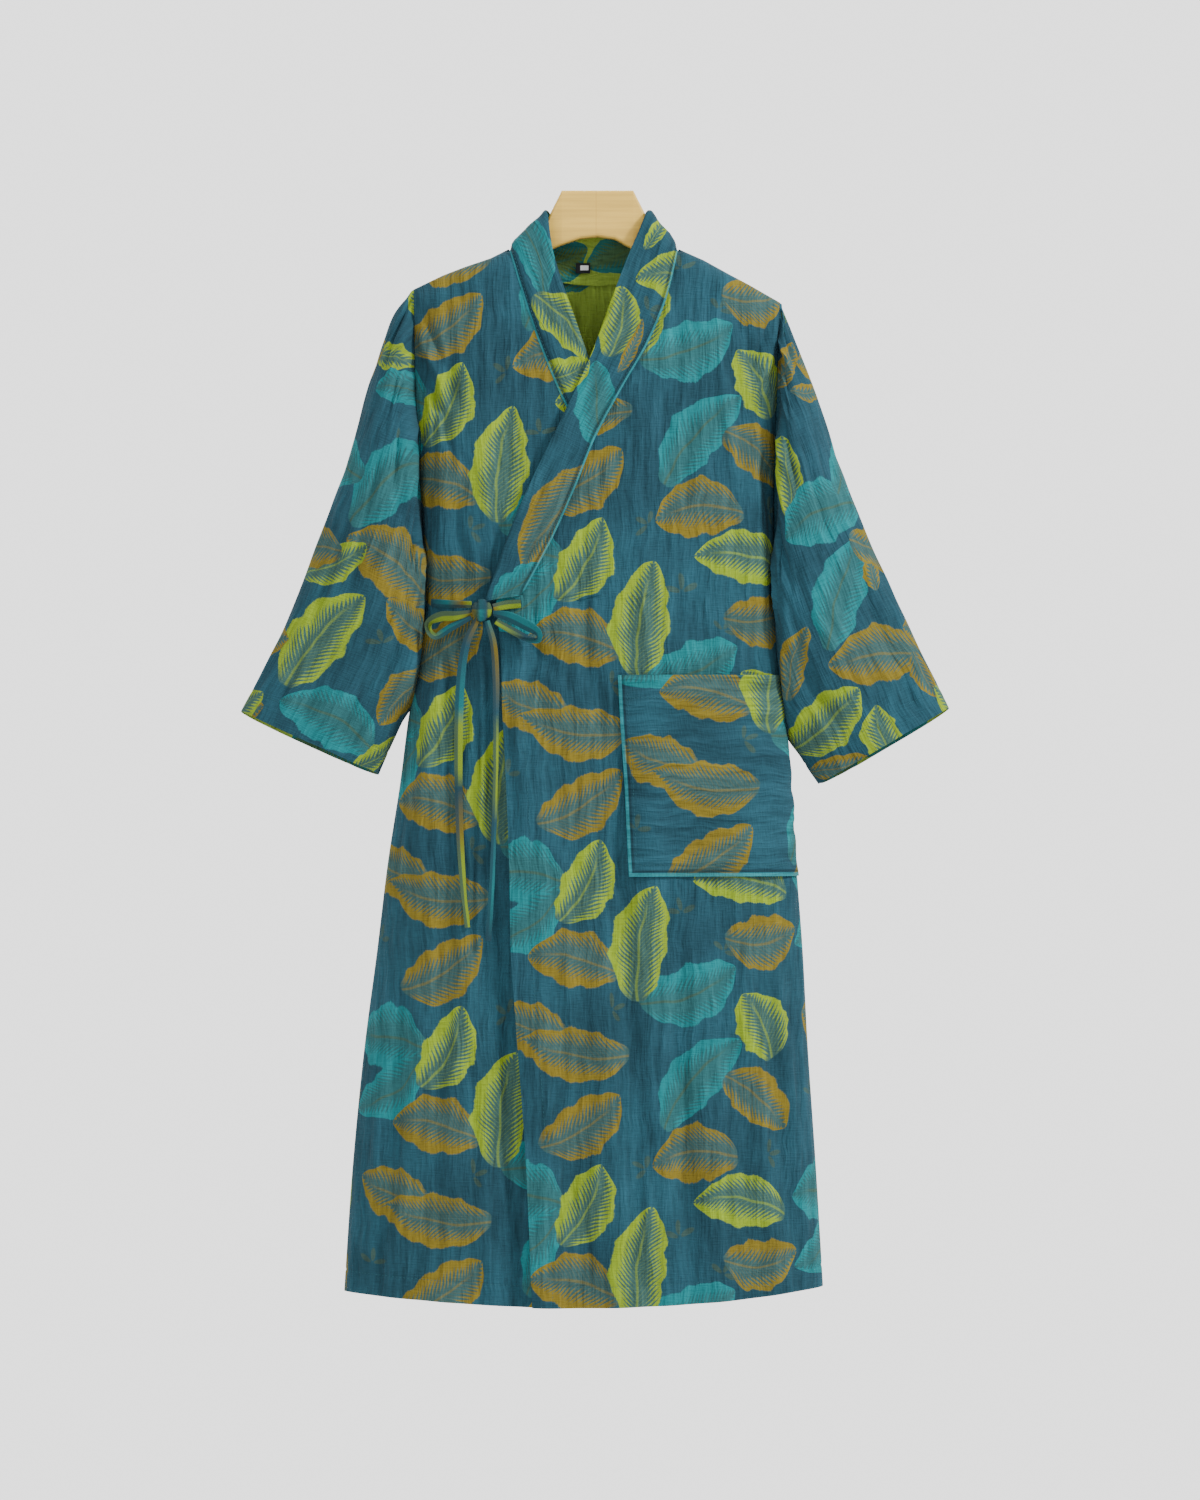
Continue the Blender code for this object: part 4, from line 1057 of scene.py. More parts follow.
def gauze_material(name, palette, chart, sprigs, cell, rim=None):
    """Crinkled jacquard gauze whose repeat follows the cloth's own coordinates."""
    material, g, sockets = new_material(name, 0.9, 0.04, 0.012)
    sockets["Sheen Roughness"].default_value = 0.55
    dyed = {key: rgba(colour) for key, colour in palette.items()}
    uv, grain = g.uv("UVMap"), g.uv("Grain")
    drift = g.vector("SUBTRACT", g.noise(uv, 26.0, 1.0, output="Color"), (0.5, 0.5, 0.5))
    place = g.vector("ADD", uv, g.vector("SCALE", drift, scale=0.01))
    rag = g.noise(g.vector("MULTIPLY", grain, (1.0, 0.4, 0.0)), 620.0, 1.0)
    cloud = g.smooth(g.noise(uv, 9.0, 2.0), 0.35, 0.65)
    colour = g.mix(cloud, dyed["deep"], dyed["ground"])
    shared = {"Place": place, "Half cell": (cell[0] / 2, cell[1] / 2, 1.0)}
    for across, down, size, turn in sprigs:
        colour = g.group(SPRIG, shared | {
            "Under": colour, "Colour": dyed["sprig"], "Middle": (across, down, 0.0),
            "Turn": math.radians(turn), "Size": size})
    for k, (kind, across, down, length, width, turn, bend) in enumerate(chart):
        colour = g.group(LEAF, shared | {
            "Under": colour, "Colour": dyed[kind], "Inner": dyed["inner"],
            "Rib": dyed["rib" if kind == "turquoise" else kind], "Middle": (across, down, 0.0),
            "Turn": math.radians(turn), "Length": length, "Width": width * LEAF_SLIM,
            "Fill": LEAF_FILL[kind], "Bend": bend, "Phase": 1.7 * k, "Rag": rag})
    if rim:
        # Painted highlight of the given width along the rolled edge or seam, with painted shade
        # beside it
        sides = g.parts(g.uv("Rim"))
        near = g.math("MINIMUM", sides[0], sides[1])
        colour = g.mix(g.smooth(near, rim, rim + 0.0014, 0.85, 0.0), colour, dyed["rim"])
        painted_shade_share = g.mul(g.smooth(near, rim + 0.0024, rim + 0.0056, 0.6, 0.0),
                     g.smooth(near, rim + 0.0004, rim + 0.0018))
        colour = g.mix(painted_shade_share, colour, dyed["shade"])
    # Slubs tint the cloth along the warp and the weave shows close to; the crinkle's light and shade
    # are painted into the colour with the same noise that raises its bump
    sway = g.noise(g.vector("MULTIPLY", grain, (0.5, 1.0, 0.0)), 22.0, 1.0)
    swayed = g.node("ShaderNodeCombineXYZ")
    put(g.tree, swayed.inputs[0], g.mul(g.sub(sway, 0.5), 0.01))
    flow = g.vector("ADD", grain, swayed.outputs[0])
    slub = g.noise(g.vector("MULTIPLY", flow, (1.0, 0.1, 0.0)), 420.0, 2.0, 0.6)
    weft = g.noise(g.vector("MULTIPLY", grain, (0.12, 1.0, 0.0)), 700.0, 1.0)
    crease = g.noise(g.vector("MULTIPLY", flow, (1.0, 0.13, 0.0)), 105.0, 2.0, 0.55)
    # The crease noise in this tint is painted crinkle shade; slub and weft are the yarn's own tone
    tint = g.add(g.add(g.mul(slub, 0.8), g.mul(weft, 0.5)), g.mul(crease, 1.1))
    put(g.tree, sockets["Base Color"], g.tinted(colour, g.sub(tint, 0.14)))
    height = g.add(g.add(crease, g.mul(slub, 0.3)), g.mul(weft, 0.16))
    g.bump(sockets, height, 0.9, 0.005)
    return material


def ribbon_material(name, stops):
    """Gauze of a narrow tie, whose colour changes along its length where leaves were cut."""
    material, g, sockets = new_material(name, 0.88, 0.08, 0.025)
    uv = g.uv("UVMap")
    sides = g.parts(uv)
    ramp = g.node("ShaderNodeValToRGB")
    put(g.tree, ramp.inputs[0], g.add(sides[1], g.mul(g.noise(uv, 160.0, 1.0), 0.02)))
    elements = ramp.color_ramp.elements
    while len(elements) > 1:
        elements.remove(elements[0])
    elements[0].position = stops[0][0]
    elements[0].color = rgba(stops[0][1])
    for place, colour in stops[1:]:
        elements.new(place).color = rgba(colour)
    slub = g.noise(g.vector("MULTIPLY", uv, (1.0, 0.3, 0.0)), 900.0, 2.0)
    # The turned-in side of the tie shows the ground
    inside = g.smooth(g.add(sides[0], g.mul(slub, 0.0012)), 0.0006, 0.0018)
    striped = g.mix(g.mul(inside, 0.75), ramp.outputs[0], rgba(GROUND_DEEP))
    put(g.tree, sockets["Base Color"], g.tinted(striped, g.add(g.mul(slub, 0.7), 0.5)))
    g.bump(sockets, slub, 0.6, 0.0008)
    return material


def wood_material():
    """Pale planed wood: long grain across the hanger, with the joint at its middle."""
    material, g, sockets = new_material("pale_wood", 0.45, 0.12)
    place = g.node("ShaderNodeTexCoord").outputs["Object"]
    grain = g.noise(g.vector("MULTIPLY", place, (0.6, 3.0, 14.0)), 16.0, 3.0, 0.55)
    pores = g.noise(g.vector("MULTIPLY", place, (0.2, 3.0, 9.0)), 150.0, 2.0, 0.6)
    colour = g.mix(g.smooth(grain, 0.3, 0.72, 0.25, 1.0), rgba(WOOD_DEEP), rgba(WOOD))
    colour = g.mix(g.smooth(pores, 0.62, 0.78, 0.0, 0.15), colour, rgba(WOOD_PORE))
    from_joint = g.math("ABSOLUTE", g.add(g.parts(place)[0], 0.0015))
    colour = g.mix(g.smooth(from_joint, 0.0002, 0.0006, 0.45, 0.0), colour, rgba(WOOD_JOINT))
    put(g.tree, sockets["Base Color"], colour)
    g.bump(sockets, grain, 0.12, 0.0004)
    return material


def plain_material(name, colour, rough, weave):
    """Plain finish whose flecks are darker by a share."""
    material, g, sockets = new_material(name, rough, 0.08)
    fleck = g.noise(g.node("ShaderNodeTexCoord").outputs["Object"], 900.0, 2.0)
    darker = tuple(c * (1 - weave) for c in colour)
    put(g.tree, sockets["Base Color"], g.mix(fleck, rgba(darker), rgba(colour)))
    return material


def charted(table, start, across, down):
    """Leaves given at x, z of the front, in a piece's own coordinates."""
    made = []
    for kind, x, z, length, width, turn, bend in table:
        place = np.array([x, z]) - start
        tip = np.array([math.cos(math.radians(turn)), math.sin(math.radians(turn))])
        turned = math.degrees(math.atan2(-float(tip @ down), float(tip @ across)))
        made.append((kind, float(place @ across), float(place @ down), length, width, turned, bend))
    return made


def sleeve_frame(table):
    """Start, cross direction and long direction (x, z) of a sleeve along its outer edge."""
    start = table[1, 1:3]
    down = unit(table[-1, 1:3] - start)
    across = np.array([-down[1], down[0]])
    return start, across, down


LEAF = leaf_group()
SPRIG = sprig_group()
# The rim and shade colours are a painted highlight and a painted shade along rolled edges and seams
FACE = {"ground": GROUND, "deep": GROUND_DEEP, "inner": INNER_LEAF, "lime": LIME, "mustard": MUSTARD,
        "turquoise": TURQUOISE, "rib": OLIVE, "sprig": OLIVE, "rim": EDGE_PAINTED_HIGHLIGHT,
        "shade": EDGE_PAINTED_SHADE}
BEHIND = {"ground": REVERSE_GROUND, "deep": REVERSE_GROUND, "inner": REVERSE_INNER,
          "lime": REVERSE_LEAF, "mustard": REVERSE_LEAF, "turquoise": REVERSE_LEAF,
          "rib": REVERSE_INNER, "sprig": REVERSE_LEAF}
BODY_CHART = [(kind, u * CELL, v * CELL, length * CELL, width * CELL, turn, bend)
              for kind, u, v, length, width, turn, bend in LEAVES]
BODY_SPRIGS = [(u * CELL, v * CELL, size * CELL, turn) for u, v, size, turn in SPRIGS]
PLAIN_FRAME = (np.zeros(2), np.array([1.0, 0.0]), np.array([0.0, -1.0]))
GAUZE = gauze_material("gauze", FACE, BODY_CHART, BODY_SPRIGS, (CELL, CELL))
GAUZE_POCKET = gauze_material("gauze_pocket", FACE, BODY_CHART, BODY_SPRIGS, (CELL, CELL), POCKET_PAINTED_RIM)
REVERSE = gauze_material("gauze_reverse", BEHIND, BODY_CHART, BODY_SPRIGS, (CELL, CELL))


def sleeve_chart(front, table, side):
    """Front and back leaves of a sleeve; the backs of the two sleeves mirror each other."""
    backs = [(kind, side * u, v, length, width, turn if side < 0 else 180.0 - turn, bend)
             for kind, u, v, length, width, turn, bend in SLEEVE_BACK_LEAVES]
    return charted(front, *sleeve_frame(table)) + backs


GAUZE_RIGHT = gauze_material(
    "gauze_sleeve_right", FACE, sleeve_chart(SLEEVE_RIGHT_LEAVES, SLEEVE_RIGHT, -1),
    OTHER_SPRIGS, SLEEVE_CELL)
GAUZE_LEFT = gauze_material(
    "gauze_sleeve_left", FACE, sleeve_chart(SLEEVE_LEFT_LEAVES, SLEEVE_LEFT, 1),
    OTHER_SPRIGS, SLEEVE_CELL)
GAUZE_BAND = gauze_material(
    "gauze_band", FACE, charted(BAND_LEAVES, *PLAIN_FRAME), OTHER_SPRIGS, BAND_CELL, BAND_PAINTED_RIM)


# Body panels

def panel_heights(top_z, neck_z, drops, hem_z):
    """Heights down one column: level rows that bend to the shoulder line and to the hem."""
    level = neck_z - drops
    fade_top = 1 - step(drops / TOP_FADE)
    fade_hem = step((drops - drops[-1] + TOP_FADE) / TOP_FADE)
    return level + (top_z - neck_z) * fade_top + (hem_z - level[-1]) * fade_hem


def fine_drops(extra=()):
    """Rows of a panel, close together over the shoulder and at the hem."""
    sewn = PANEL_DROP - HEM_FOLD
    rows = [0.0, 0.001, 0.0025, 0.0045, 0.007, 0.01, 0.0135, 0.0175, 0.022, 0.027]
    rows += list(np.arange(rows[-1] + ROW_PITCH, sewn - 0.005, ROW_PITCH))
    rows += [sewn + offset for offset in (-0.0032, -0.0015, 0.0, 0.0015, 0.0032)]
    rows += [PANEL_DROP - rest for rest in (0.014, 0.009, 0.004, 0.002, 0.0)]
    return np.array(sorted(set(rows) | set(extra)))


def fine_shares(pitch):
    """Columns from a side seam inwards: close at the seam, then even."""
    near = np.array([0.0, 0.0015, 0.004, 0.008, 0.013, 0.02, 0.028])
    rest = np.arange(near[-1] + 0.01, 1.0 - pitch * 0.6, pitch)
    return np.concatenate([near, rest, [1.0]])


def cloth_uv(grid, shift, front=True):
    """Pattern coordinates: measured along each row from the middle, and down the cloth."""
    middle = np.argmin(np.abs(grid[:, :, 0]), axis=1)
    steps = np.linalg.norm(np.diff(grid, axis=1), axis=2)
    run = np.concatenate([np.zeros((len(grid), 1)), np.cumsum(steps, axis=1)], axis=1)
    rows = np.arange(len(grid))
    sign = np.sign(grid[:, -1, 0] - grid[:, 0, 0])[:, None]
    u = grid[rows, middle, 0][:, None] + sign * (run - run[rows, middle][:, None])
    v = -grid[:, :, 2]
    if not front:
        u = -u
    return np.stack([u - REPEAT_START[0] + shift[0], v + REPEAT_START[1] + shift[1]], axis=-1)


def hem_groove(distance, fold):
    """Groove that a row of sewing pulls in at a distance from an edge."""
    return -GROOVE * np.exp(-((distance - fold) / GROOVE_HALF) ** 2)


def front_panel(side, seam_table, free_table, under):
    """Grid of a front from its side seam to its front edge, with its drops and shares."""
    drops = fine_drops((BAND_END_DROP, FREE_EDGE_DROP))
    shares = fine_shares(FRONT_PITCH[side])
    neck_z, neck_x = seam_table[0]
    tip_x = tip(side)[0]
    level = neck_z - drops
    edge = np.where(level > seam_table[-1, 0] - 0.002, curve(seam_table, level),
                    curve(free_table, level))
    grid = np.zeros((len(drops), len(shares), 3))
    for j, share in enumerate(shares):
        top_x = tip_x + (neck_x - tip_x) * share
        top_z = straight(SHOULDER, top_x)
        hem_x = side * half_width(HEM[2, 1], side) * (1 - share) + edge[-1] * share
        z = panel_heights(top_z, neck_z, drops, curve(HEM, hem_x))
        x = side * half_width(z, side) * (1 - share) + edge * share
        x = x + (top_x - x[0]) * (1 - step(drops / SHOULDER_BLEND))
        grid[:, j] = front_points(x, z, under)
        grid[0, j] = (top_x, -SEAM / 2, top_z)
    return grid, drops, shares


def middle_of(grid):
    return len(grid) // 2, grid.shape[1] // 2


def front_normals(grid, side):
    """Normals that lie in the shoulder seam's and the side seam's planes at those edges."""
    normal = normals(grid, middle_of(grid), (0.0, -1.0, 0.0))
    line = grid[0, -1] - grid[0, 0]
    across = np.array([-line[2], 0.0, line[0]])
    normal[0, :] = across * np.sign(across[2])
    normal[1:, 0] = (side, 0.0, 0.0)
    return unit(normal)


def quiet_edges(shape, rows=(4, 4), columns=(4, 4)):
    """Share of the crinkle kept near a panel's edges, so that seams stay in line."""
    i = np.arange(shape[0])[:, None]
    j = np.arange(shape[1])[None, :]
    ends = step(i / rows[0]) * step((shape[0] - 1 - i) / rows[1])
    return ends * step(j / columns[0]) * step((shape[1] - 1 - j) / columns[1])


def dress_panel(name, node, grid, normal, uv, table, extra):
    """Cloth of a body panel, with its creases, crinkle and hem; returns its middle layer."""
    x, z = grid[:, :, 0], grid[:, :, 2]
    relief = creases(table, x, z) + crinkle(uv[..., 0], uv[..., 1])
    relief = relief * quiet_edges(x.shape)
    to_hem = np.cumsum(np.abs(np.diff(z, axis=0, append=z[-1:]))[::-1], axis=0)[::-1]
    relief = relief + hem_groove(to_hem, HEM_FOLD) + extra
    moved = grid + normal * relief[..., None]
    declare(wall(name, moved, normal, WALL, uv, (GAUZE, REVERSE)), node)
    return moved


def make_front(name, node, side, seam_table, free_table, under):
    grid, drops, shares = front_panel(side, seam_table, free_table, under)
    normal = front_normals(grid, side)
    uv = cloth_uv(grid, SHIFT[node])
    to_edge = np.abs(grid[:, :, 0] - grid[:, -1:, 0])
    free = (drops > FREE_EDGE_DROP + 0.002)[:, None]
    sewn_on = (drops < BAND_END_DROP - 0.001)[:, None]
    edge = hem_groove(to_edge, HEM_FOLD) * free
    edge = edge - SEAM_DIP * np.exp(-(to_edge / SEAM_DIP_HALF) ** 2) * sewn_on
    moved = dress_panel(name, node, grid, normal, uv, FRONT_CREASES, edge)
    return moved, normal, drops, shares, uv, grid


OVER = make_front("front_over_cloth", "front_over", 1, OVER_EDGE, OVER_FREE, False)
UNDER = make_front("front_under_cloth", "front_under", -1, UNDER_EDGE, UNDER_FREE, True)


def back_tops(side, shares):
    """Top points of the back's columns from a side seam to the middle: x, z, on the shoulder."""
    tip_x = tip(side)[0]
    neck = side * NECK_SIDE[side]
    split = 1 - abs(neck) / abs(tip_x)
    xs = [tip_x + (neck - tip_x) * share / split for share in shares if share < split - 0.004]
    tops = [(x, straight(SHOULDER, x), True) for x in xs] + [(neck, SHOULDER[4, 1], True)]
    scoop = np.concatenate([[0.012, 0.03, 0.055, 0.085], np.arange(0.12, 0.97, 0.035), [1.0]])
    return tops + [(neck * (1 - share), curve(BACK_NECK, share), False) for share in scoop]


def back_panel():
    drops = fine_drops()
    shares = fine_shares(BACK_PITCH)
    tops = back_tops(-1, shares) + back_tops(1, shares)[-2::-1]
    grid = np.zeros((len(drops), len(tops), 3))
    for j, (top_x, top_z, seam) in enumerate(tops):
        side = -1 if top_x < 0 else 1
        share = min(abs(top_x) / abs(tip(side)[0]), 1.0)
        hem_x = side * half_width(HEM[2, 1], side) * share
        z = panel_heights(top_z, SHOULDER[4, 1], drops, curve(HEM, hem_x))
        x = side * half_width(z, side) * share
        x = x + (top_x - x[0]) * (1 - step(drops / SHOULDER_BLEND))
        grid[:, j] = back_points(x, z)
        if seam:
            grid[0, j] = (top_x, SEAM / 2, top_z)
    return grid


def back_normals(grid):
    normal = normals(grid, middle_of(grid), (0.0, 1.0, 0.0))
    seam = np.abs(grid[0, :, 1]) < SEAM
    normal[0, seam] = (0.0, 0.0, 1.0)
    normal[0, seam, 0] = 0.55 * np.sign(grid[0, seam, 0])
    normal[1:, 0] = (-1.0, 0.0, 0.0)
    normal[1:, -1] = (1.0, 0.0, 0.0)
    return unit(normal)


BACK = back_panel()
BACK_NORMAL = back_normals(BACK)
BACK_MOVED = dress_panel("back_cloth", "back_panel", BACK, BACK_NORMAL,
                         cloth_uv(BACK, SHIFT["back_panel"], False), BACK_CREASES, 0.0)


# Neckband

def band_stations(side, panel, panel_normal, free_column):
    """Along a band's seam: its point, normal, free edge x and z, and the stretch it is on."""
    stations = []
    middle = int(np.argmin(np.abs(BACK[0, :, 0])))
    corner = int(np.argmin(np.abs(BACK[0, :, 0] - side * NECK_SIDE[side])))
    for j in range(middle, corner, 1 if corner > middle else -1):
        seam = BACK[0, j]
        share = 1 - abs(seam[0]) / NECK_SIDE[side]
        free_x = side * BAND_TOP_SIDE * (1 - share) ** 0.8
        stations.append((seam, BACK_NORMAL[0, j], free_x, curve(BACK_NECK, share, 2), "back"))
    last = int(np.argmin(np.abs(panel[:, -1, 2] - OVER_EDGE[-1, 0])))
    for i in range(last + 1):
        seam = panel[i, -1].copy()
        if i == 0:
            seam[1] = 0.0
        free_z = curve(BAND_ACROSS, seam[2])
        free_x = curve(BAND_FREE, free_z, free_column)
        stations.append((seam, panel_normal[i, -1], free_x, free_z, "front" if i else "side"))
    return stations


def make_band(name, node, side, panel, panel_normal, free_column, under):
    stations = band_stations(side, panel, panel_normal, free_column)
    shares = BAND_SHARES
    grid = np.zeros((len(stations), len(shares), 3))
    for i, (seam, _, free_x, free_z, where) in enumerate(stations):
        x = seam[0] + (free_x - seam[0]) * shares
        z = seam[2] + (free_z - seam[2]) * shares
        if where == "side":
            grid[i] = np.stack([x, np.zeros_like(x), z], axis=-1)
        else:
            grid[i] = back_points(x, z) if where == "back" else front_points(x, z, under)
            grid[i, 0] = seam
        grid[i, 0] -= unit(grid[i, 2] - grid[i, 0]) * SEAM
    grid[0, :, 0] -= side * SEAM
    grid[-1, :, 2] -= BAND_END_LAP
    normal = normals(grid, (len(grid) - 8, 3), (0.0, -1.0, 0.0))
    normal[:, 0] = [station[1] for station in stations]
    normal[0, :, 0] = 0.0
    normal = unit(normal)
    width = np.linalg.norm(grid[:, -1] - grid[:, 0], axis=1)
    from_seam = shares[None, :] * width[:, None]
    u = from_seam * side
    v = np.broadcast_to(run_length(grid[:, len(shares) // 2 - 1])[:, None], u.shape)
    uv = np.stack([grid[..., 0], -grid[..., 2]], axis=-1)
    dip = np.exp(-(from_seam / SEAM_DIP_HALF) ** 2)
    relief = crinkle(u + 3, v) * quiet_edges(u.shape, (3, 3), (3, 2))
    relief = relief + hem_groove(from_seam, BAND_SEWING)
    relief = relief + SEAM_DIP * (step(shares / 0.2)[None, :] - dip)
    # The free edge is a soft fold, and the seam edge is pressed thinner
    fold = np.sqrt(np.clip(1 - ((shares - 0.93) / 0.075).clip(0) ** 2, 0.03, 1))
    press = 0.72 + 0.28 * step(shares / 0.14)
    layers = {"Grain": np.stack([u, v], axis=-1),
              "Rim": np.stack([from_seam, np.ones_like(u)], axis=-1)}
    piece = wall(name, grid + normal * relief[..., None], normal, BAND_WALL * fold * press, uv,
                 (GAUZE_BAND, REVERSE), layers=layers)
    declare(piece, node)
    return grid, normal


BAND_OVER = make_band("neckband_over_cloth", "neckband_over", 1, OVER[5], OVER[1], 1, False)
BAND_UNDER = make_band("neckband_under_cloth", "neckband_under", -1, UNDER[5], UNDER[1], 2, True)


# Sleeves

def make_sleeve(name, node, table, side):
    rings, points = SLEEVE_COUNTS
    shares = np.linspace(0, 1, rings) ** 1.15
    # Points run from the lower edge over the back to the outer edge, then down the front
    angles = np.linspace(math.pi, 3 * math.pi, points, endpoint=False)
    outer_column, front_column = points // 2, points * 3 // 4
    outer = np.stack([curve(table, shares, 1), np.zeros(rings), curve(table, shares, 2)], axis=-1)
    lower = np.stack([curve(table, shares, 3), np.zeros(rings), curve(table, shares, 4)], axis=-1)
    from_seam = shares * np.linalg.norm(outer[-1] - outer[0])
    groove = ARMHOLE_GROOVE * np.exp(-(from_seam / ARMHOLE_GROOVE_HALF) ** 2)
    depth = (curve(SLEEVE_SECTION, shares, 1) - groove)[:, None]
    press_end = step((UNDERARM_SHARES[side] + 0.16 - shares) / 0.16)
    lower[:, 0] -= side * UNDERARM_PRESS * step(shares / 0.05) * press_end
    power = 2 / curve(SLEEVE_SECTION, shares, 2)[:, None]
    cos, sin = np.cos(angles)[None, :], np.sin(angles)[None, :]
    along = np.sign(cos) * np.abs(cos) ** power
    deep = np.sign(sin) * np.abs(sin) ** power
    relief = np.zeros((rings, points))
    degrees = np.degrees(angles)[None, :]
    share = shares[:, None]
    for fold_angle, start, end, half, height in SLEEVE_FOLDS:
        turn = (degrees - fold_angle + 180) % 360 - 180
        fade = step((share - start) / 0.25) * step((end - share) / 0.25)
        relief += height * np.exp(-(turn / half) ** 2) * fade * step(share / 0.12)
    grid = (outer + lower)[:, None] / 2 + (outer - lower)[:, None] / 2 * along[..., None]
    grid[..., 1] = -deep * (depth + relief)
    grid[0, :, 0] = side * (half_width(grid[0, :, 2], side) + SEAM)
    ring = grid[rings // 2]
    normal = normals(grid, (rings // 2, 0), ring[0] - ring.mean(axis=0), ring=True)
    normal[0, :, 0] = 0.0
    normal = unit(normal)
    # Cloth coordinates: seen from the front they are plain x and z, and round the outer edge
    # the cloth runs on
    start, cross, down = sleeve_frame(table)
    plane = grid[:, :, ::2]
    inward = -side * ((plane - start) @ cross)
    steps = np.linalg.norm(np.diff(grid, axis=1), axis=2)
    seen = np.linalg.norm(np.diff(plane, axis=1), axis=2)
    hidden = np.concatenate([np.zeros((rings, 1)), np.cumsum(steps - seen, axis=1)], axis=1)
    hidden = hidden - hidden[:, front_column][:, None]
    turned = np.where(np.arange(points) < outer_column, -1.0, 1.0)
    u = -side * (turned * (inward - inward[:, outer_column][:, None]) + hidden)
    v = (plane - start) @ down
    uv = np.stack([u, v], axis=-1)
    crease = np.zeros((rings, points))
    for s0, a0, s1, a1, half, height in SLEEVE_CREASES:
        t = np.clip((share - s0) / (s1 - s0), 0, 1)
        turn = (degrees - (a0 + (a1 - a0) * t) + 180) % 360 - 180
        reach = np.radians(turn) * SLEEVE_RADIUS
        past = (share - (s0 + (s1 - s0) * t)) * SLEEVE_LENGTH
        off = (reach ** 2 + past ** 2) / half ** 2
        crease += CREASE_DEPTH * height * np.exp(-off) * crease_fade(t)
    bend = crease + crinkle(u, v) * step(np.arange(rings) / 4)[:, None]
    to_cuff = np.linalg.norm(grid[-1:] - grid, axis=2)
    bend = bend + hem_groove(to_cuff, CUFF_FOLD)
    long_way = np.array([down[0], 0.0, down[1]])
    behind = np.clip(-np.sin(angles), 0.0, 1.0)[None, :] ** 0.7 * step((share - 0.75) / 0.25)
    grid = grid + (CUFF_DROP * behind)[..., None] * long_way
    moved = grid + normal * bend[..., None]
    face = GAUZE_LEFT if side > 0 else GAUZE_RIGHT
    piece = wall(name, moved, normal, WALL, uv, (face, REVERSE), ring=True)
    declare(piece, node)
    return moved, normal, to_cuff


SLEEVE_R = make_sleeve("sleeve_right_cloth", "sleeve_right", SLEEVE_RIGHT, -1)
SLEEVE_L = make_sleeve("sleeve_left_cloth", "sleeve_left", SLEEVE_LEFT, 1)


# Pocket

def make_pocket():
    _, normal, drops, shares, cloth, grid = OVER
    rows = np.nonzero((drops >= POCKET_DROPS[0] - 0.001) & (drops <= POCKET_DROPS[1] + 0.001))[0]
    columns = np.nonzero((shares >= POCKET_SHARES[0] - 0.001)
                         & (shares <= POCKET_SHARES[1] + 0.003))[0]
    patch = (slice(rows[0], rows[-1] + 1), slice(columns[0], columns[-1] + 1))
    base, out = grid[patch], normal[patch]
    down = np.linspace(0, 1, len(rows))[:, None]
    across = np.linspace(0, 1, len(columns))[None, :]
    bulge = POCKET_BULGE * np.sin(math.pi * np.clip(across, 0, 1)) ** 0.8 * (1 - down ** 2)
    span = np.cumsum(np.linalg.norm(np.diff(base, axis=1, prepend=base[:, :1]), axis=2), axis=1)
    uv = cloth[patch] + np.array(SHIFT["pocket"])
    grain = np.stack([-base[..., 2], span], axis=-1)
    height = (WALL + SEAM) + bulge + crinkle(grain[..., 0], grain[..., 1]) * 0.8 + POCKET_STAND
    from_left = span[:, -1:] - span
    from_low = base[:, :, 2] - base[-1:, :, 2]
    from_top = base[:1, :, 2] - base[:, :, 2]
    for distance in (from_left, from_low):
        roll = np.exp(-((distance - POCKET_ROLL[0]) / POCKET_ROLL[1]) ** 2)
        height = height + POCKET_ROLL[2] * roll + hem_groove(distance, POCKET_SEWING)
    height = height + hem_groove(from_top, HEM_FOLD)
    layers = {"Grain": grain, "Rim": np.stack([from_left, from_low], axis=-1)}
    piece = wall("pocket_cloth", base + out * height[..., None], out, WALL, uv,
                 (GAUZE_POCKET, REVERSE), layers=layers)
    declare(piece, "pocket")
    return base + out * (height + WALL / 2)[..., None], out


POCKET = make_pocket()


# Ties

def tie_rows(table, steps):
    """Stations of a tie with even steps between, along a smooth line."""
    knots = np.arange(len(table), dtype=float)
    numbered = np.column_stack([knots, table])
    ticks = np.linspace(0, len(table) - 1, (len(table) - 1) * steps + 1)
    return np.array([[curve(numbered, t, c) for c in range(1, 6)] for t in ticks])


def make_ribbon(name, node, table, under, material):
    """Narrow doubled tie: a flat strip with one rolled, sewn edge."""
    rows = tie_rows(table, TIE_STEPS)
    narrow = TAIL_NARROW if "tail" in node else TIE_NARROW
    centres = front_points(rows[:, 0], rows[:, 1], under)
    centres[:, 1] -= rows[:, 2]
    tangents = unit(np.gradient(centres, axis=0))
    out = np.array([0.0, -1.0, 0.0])
    flat = unit(np.cross(tangents, out))
    lift = unit(np.cross(flat, tangents))
    angle = np.radians(rows[:, 4])[:, None]
    wide = flat * np.cos(angle) + lift * np.sin(angle)
    thick = unit(np.cross(tangents, wide))
    shares = TIE_SHARES
    across = shares[None, :] * rows[:, 3][:, None] * narrow
    grid = centres[:, None] + wide[:, None] * across[..., None]
    length = run_length(centres)
    ripple = 0.0004 * noise(length[:, None] / 0.012 + 3, shares[None, :] * 2 + 9)
    roll = 0.0006 * np.exp(-((shares - 0.4) / 0.09) ** 2)[None, :]
    grid = grid + thick[:, None] * (ripple + roll)[..., None]
    normal = np.broadcast_to(thick[:, None], grid.shape)
    profile = np.sqrt(np.clip(1 - (np.abs(shares) / 0.505) ** 6, 0.02, 1))
    uv = np.stack([np.broadcast_to(shares * 0.012, grid.shape[:2]),
                   np.broadcast_to((length / length[-1])[:, None], grid.shape[:2])], axis=-1)
    piece = wall(name, grid, normal, RIBBON_WALL * profile[None, :], uv, (material, material))
    declare(piece, node)


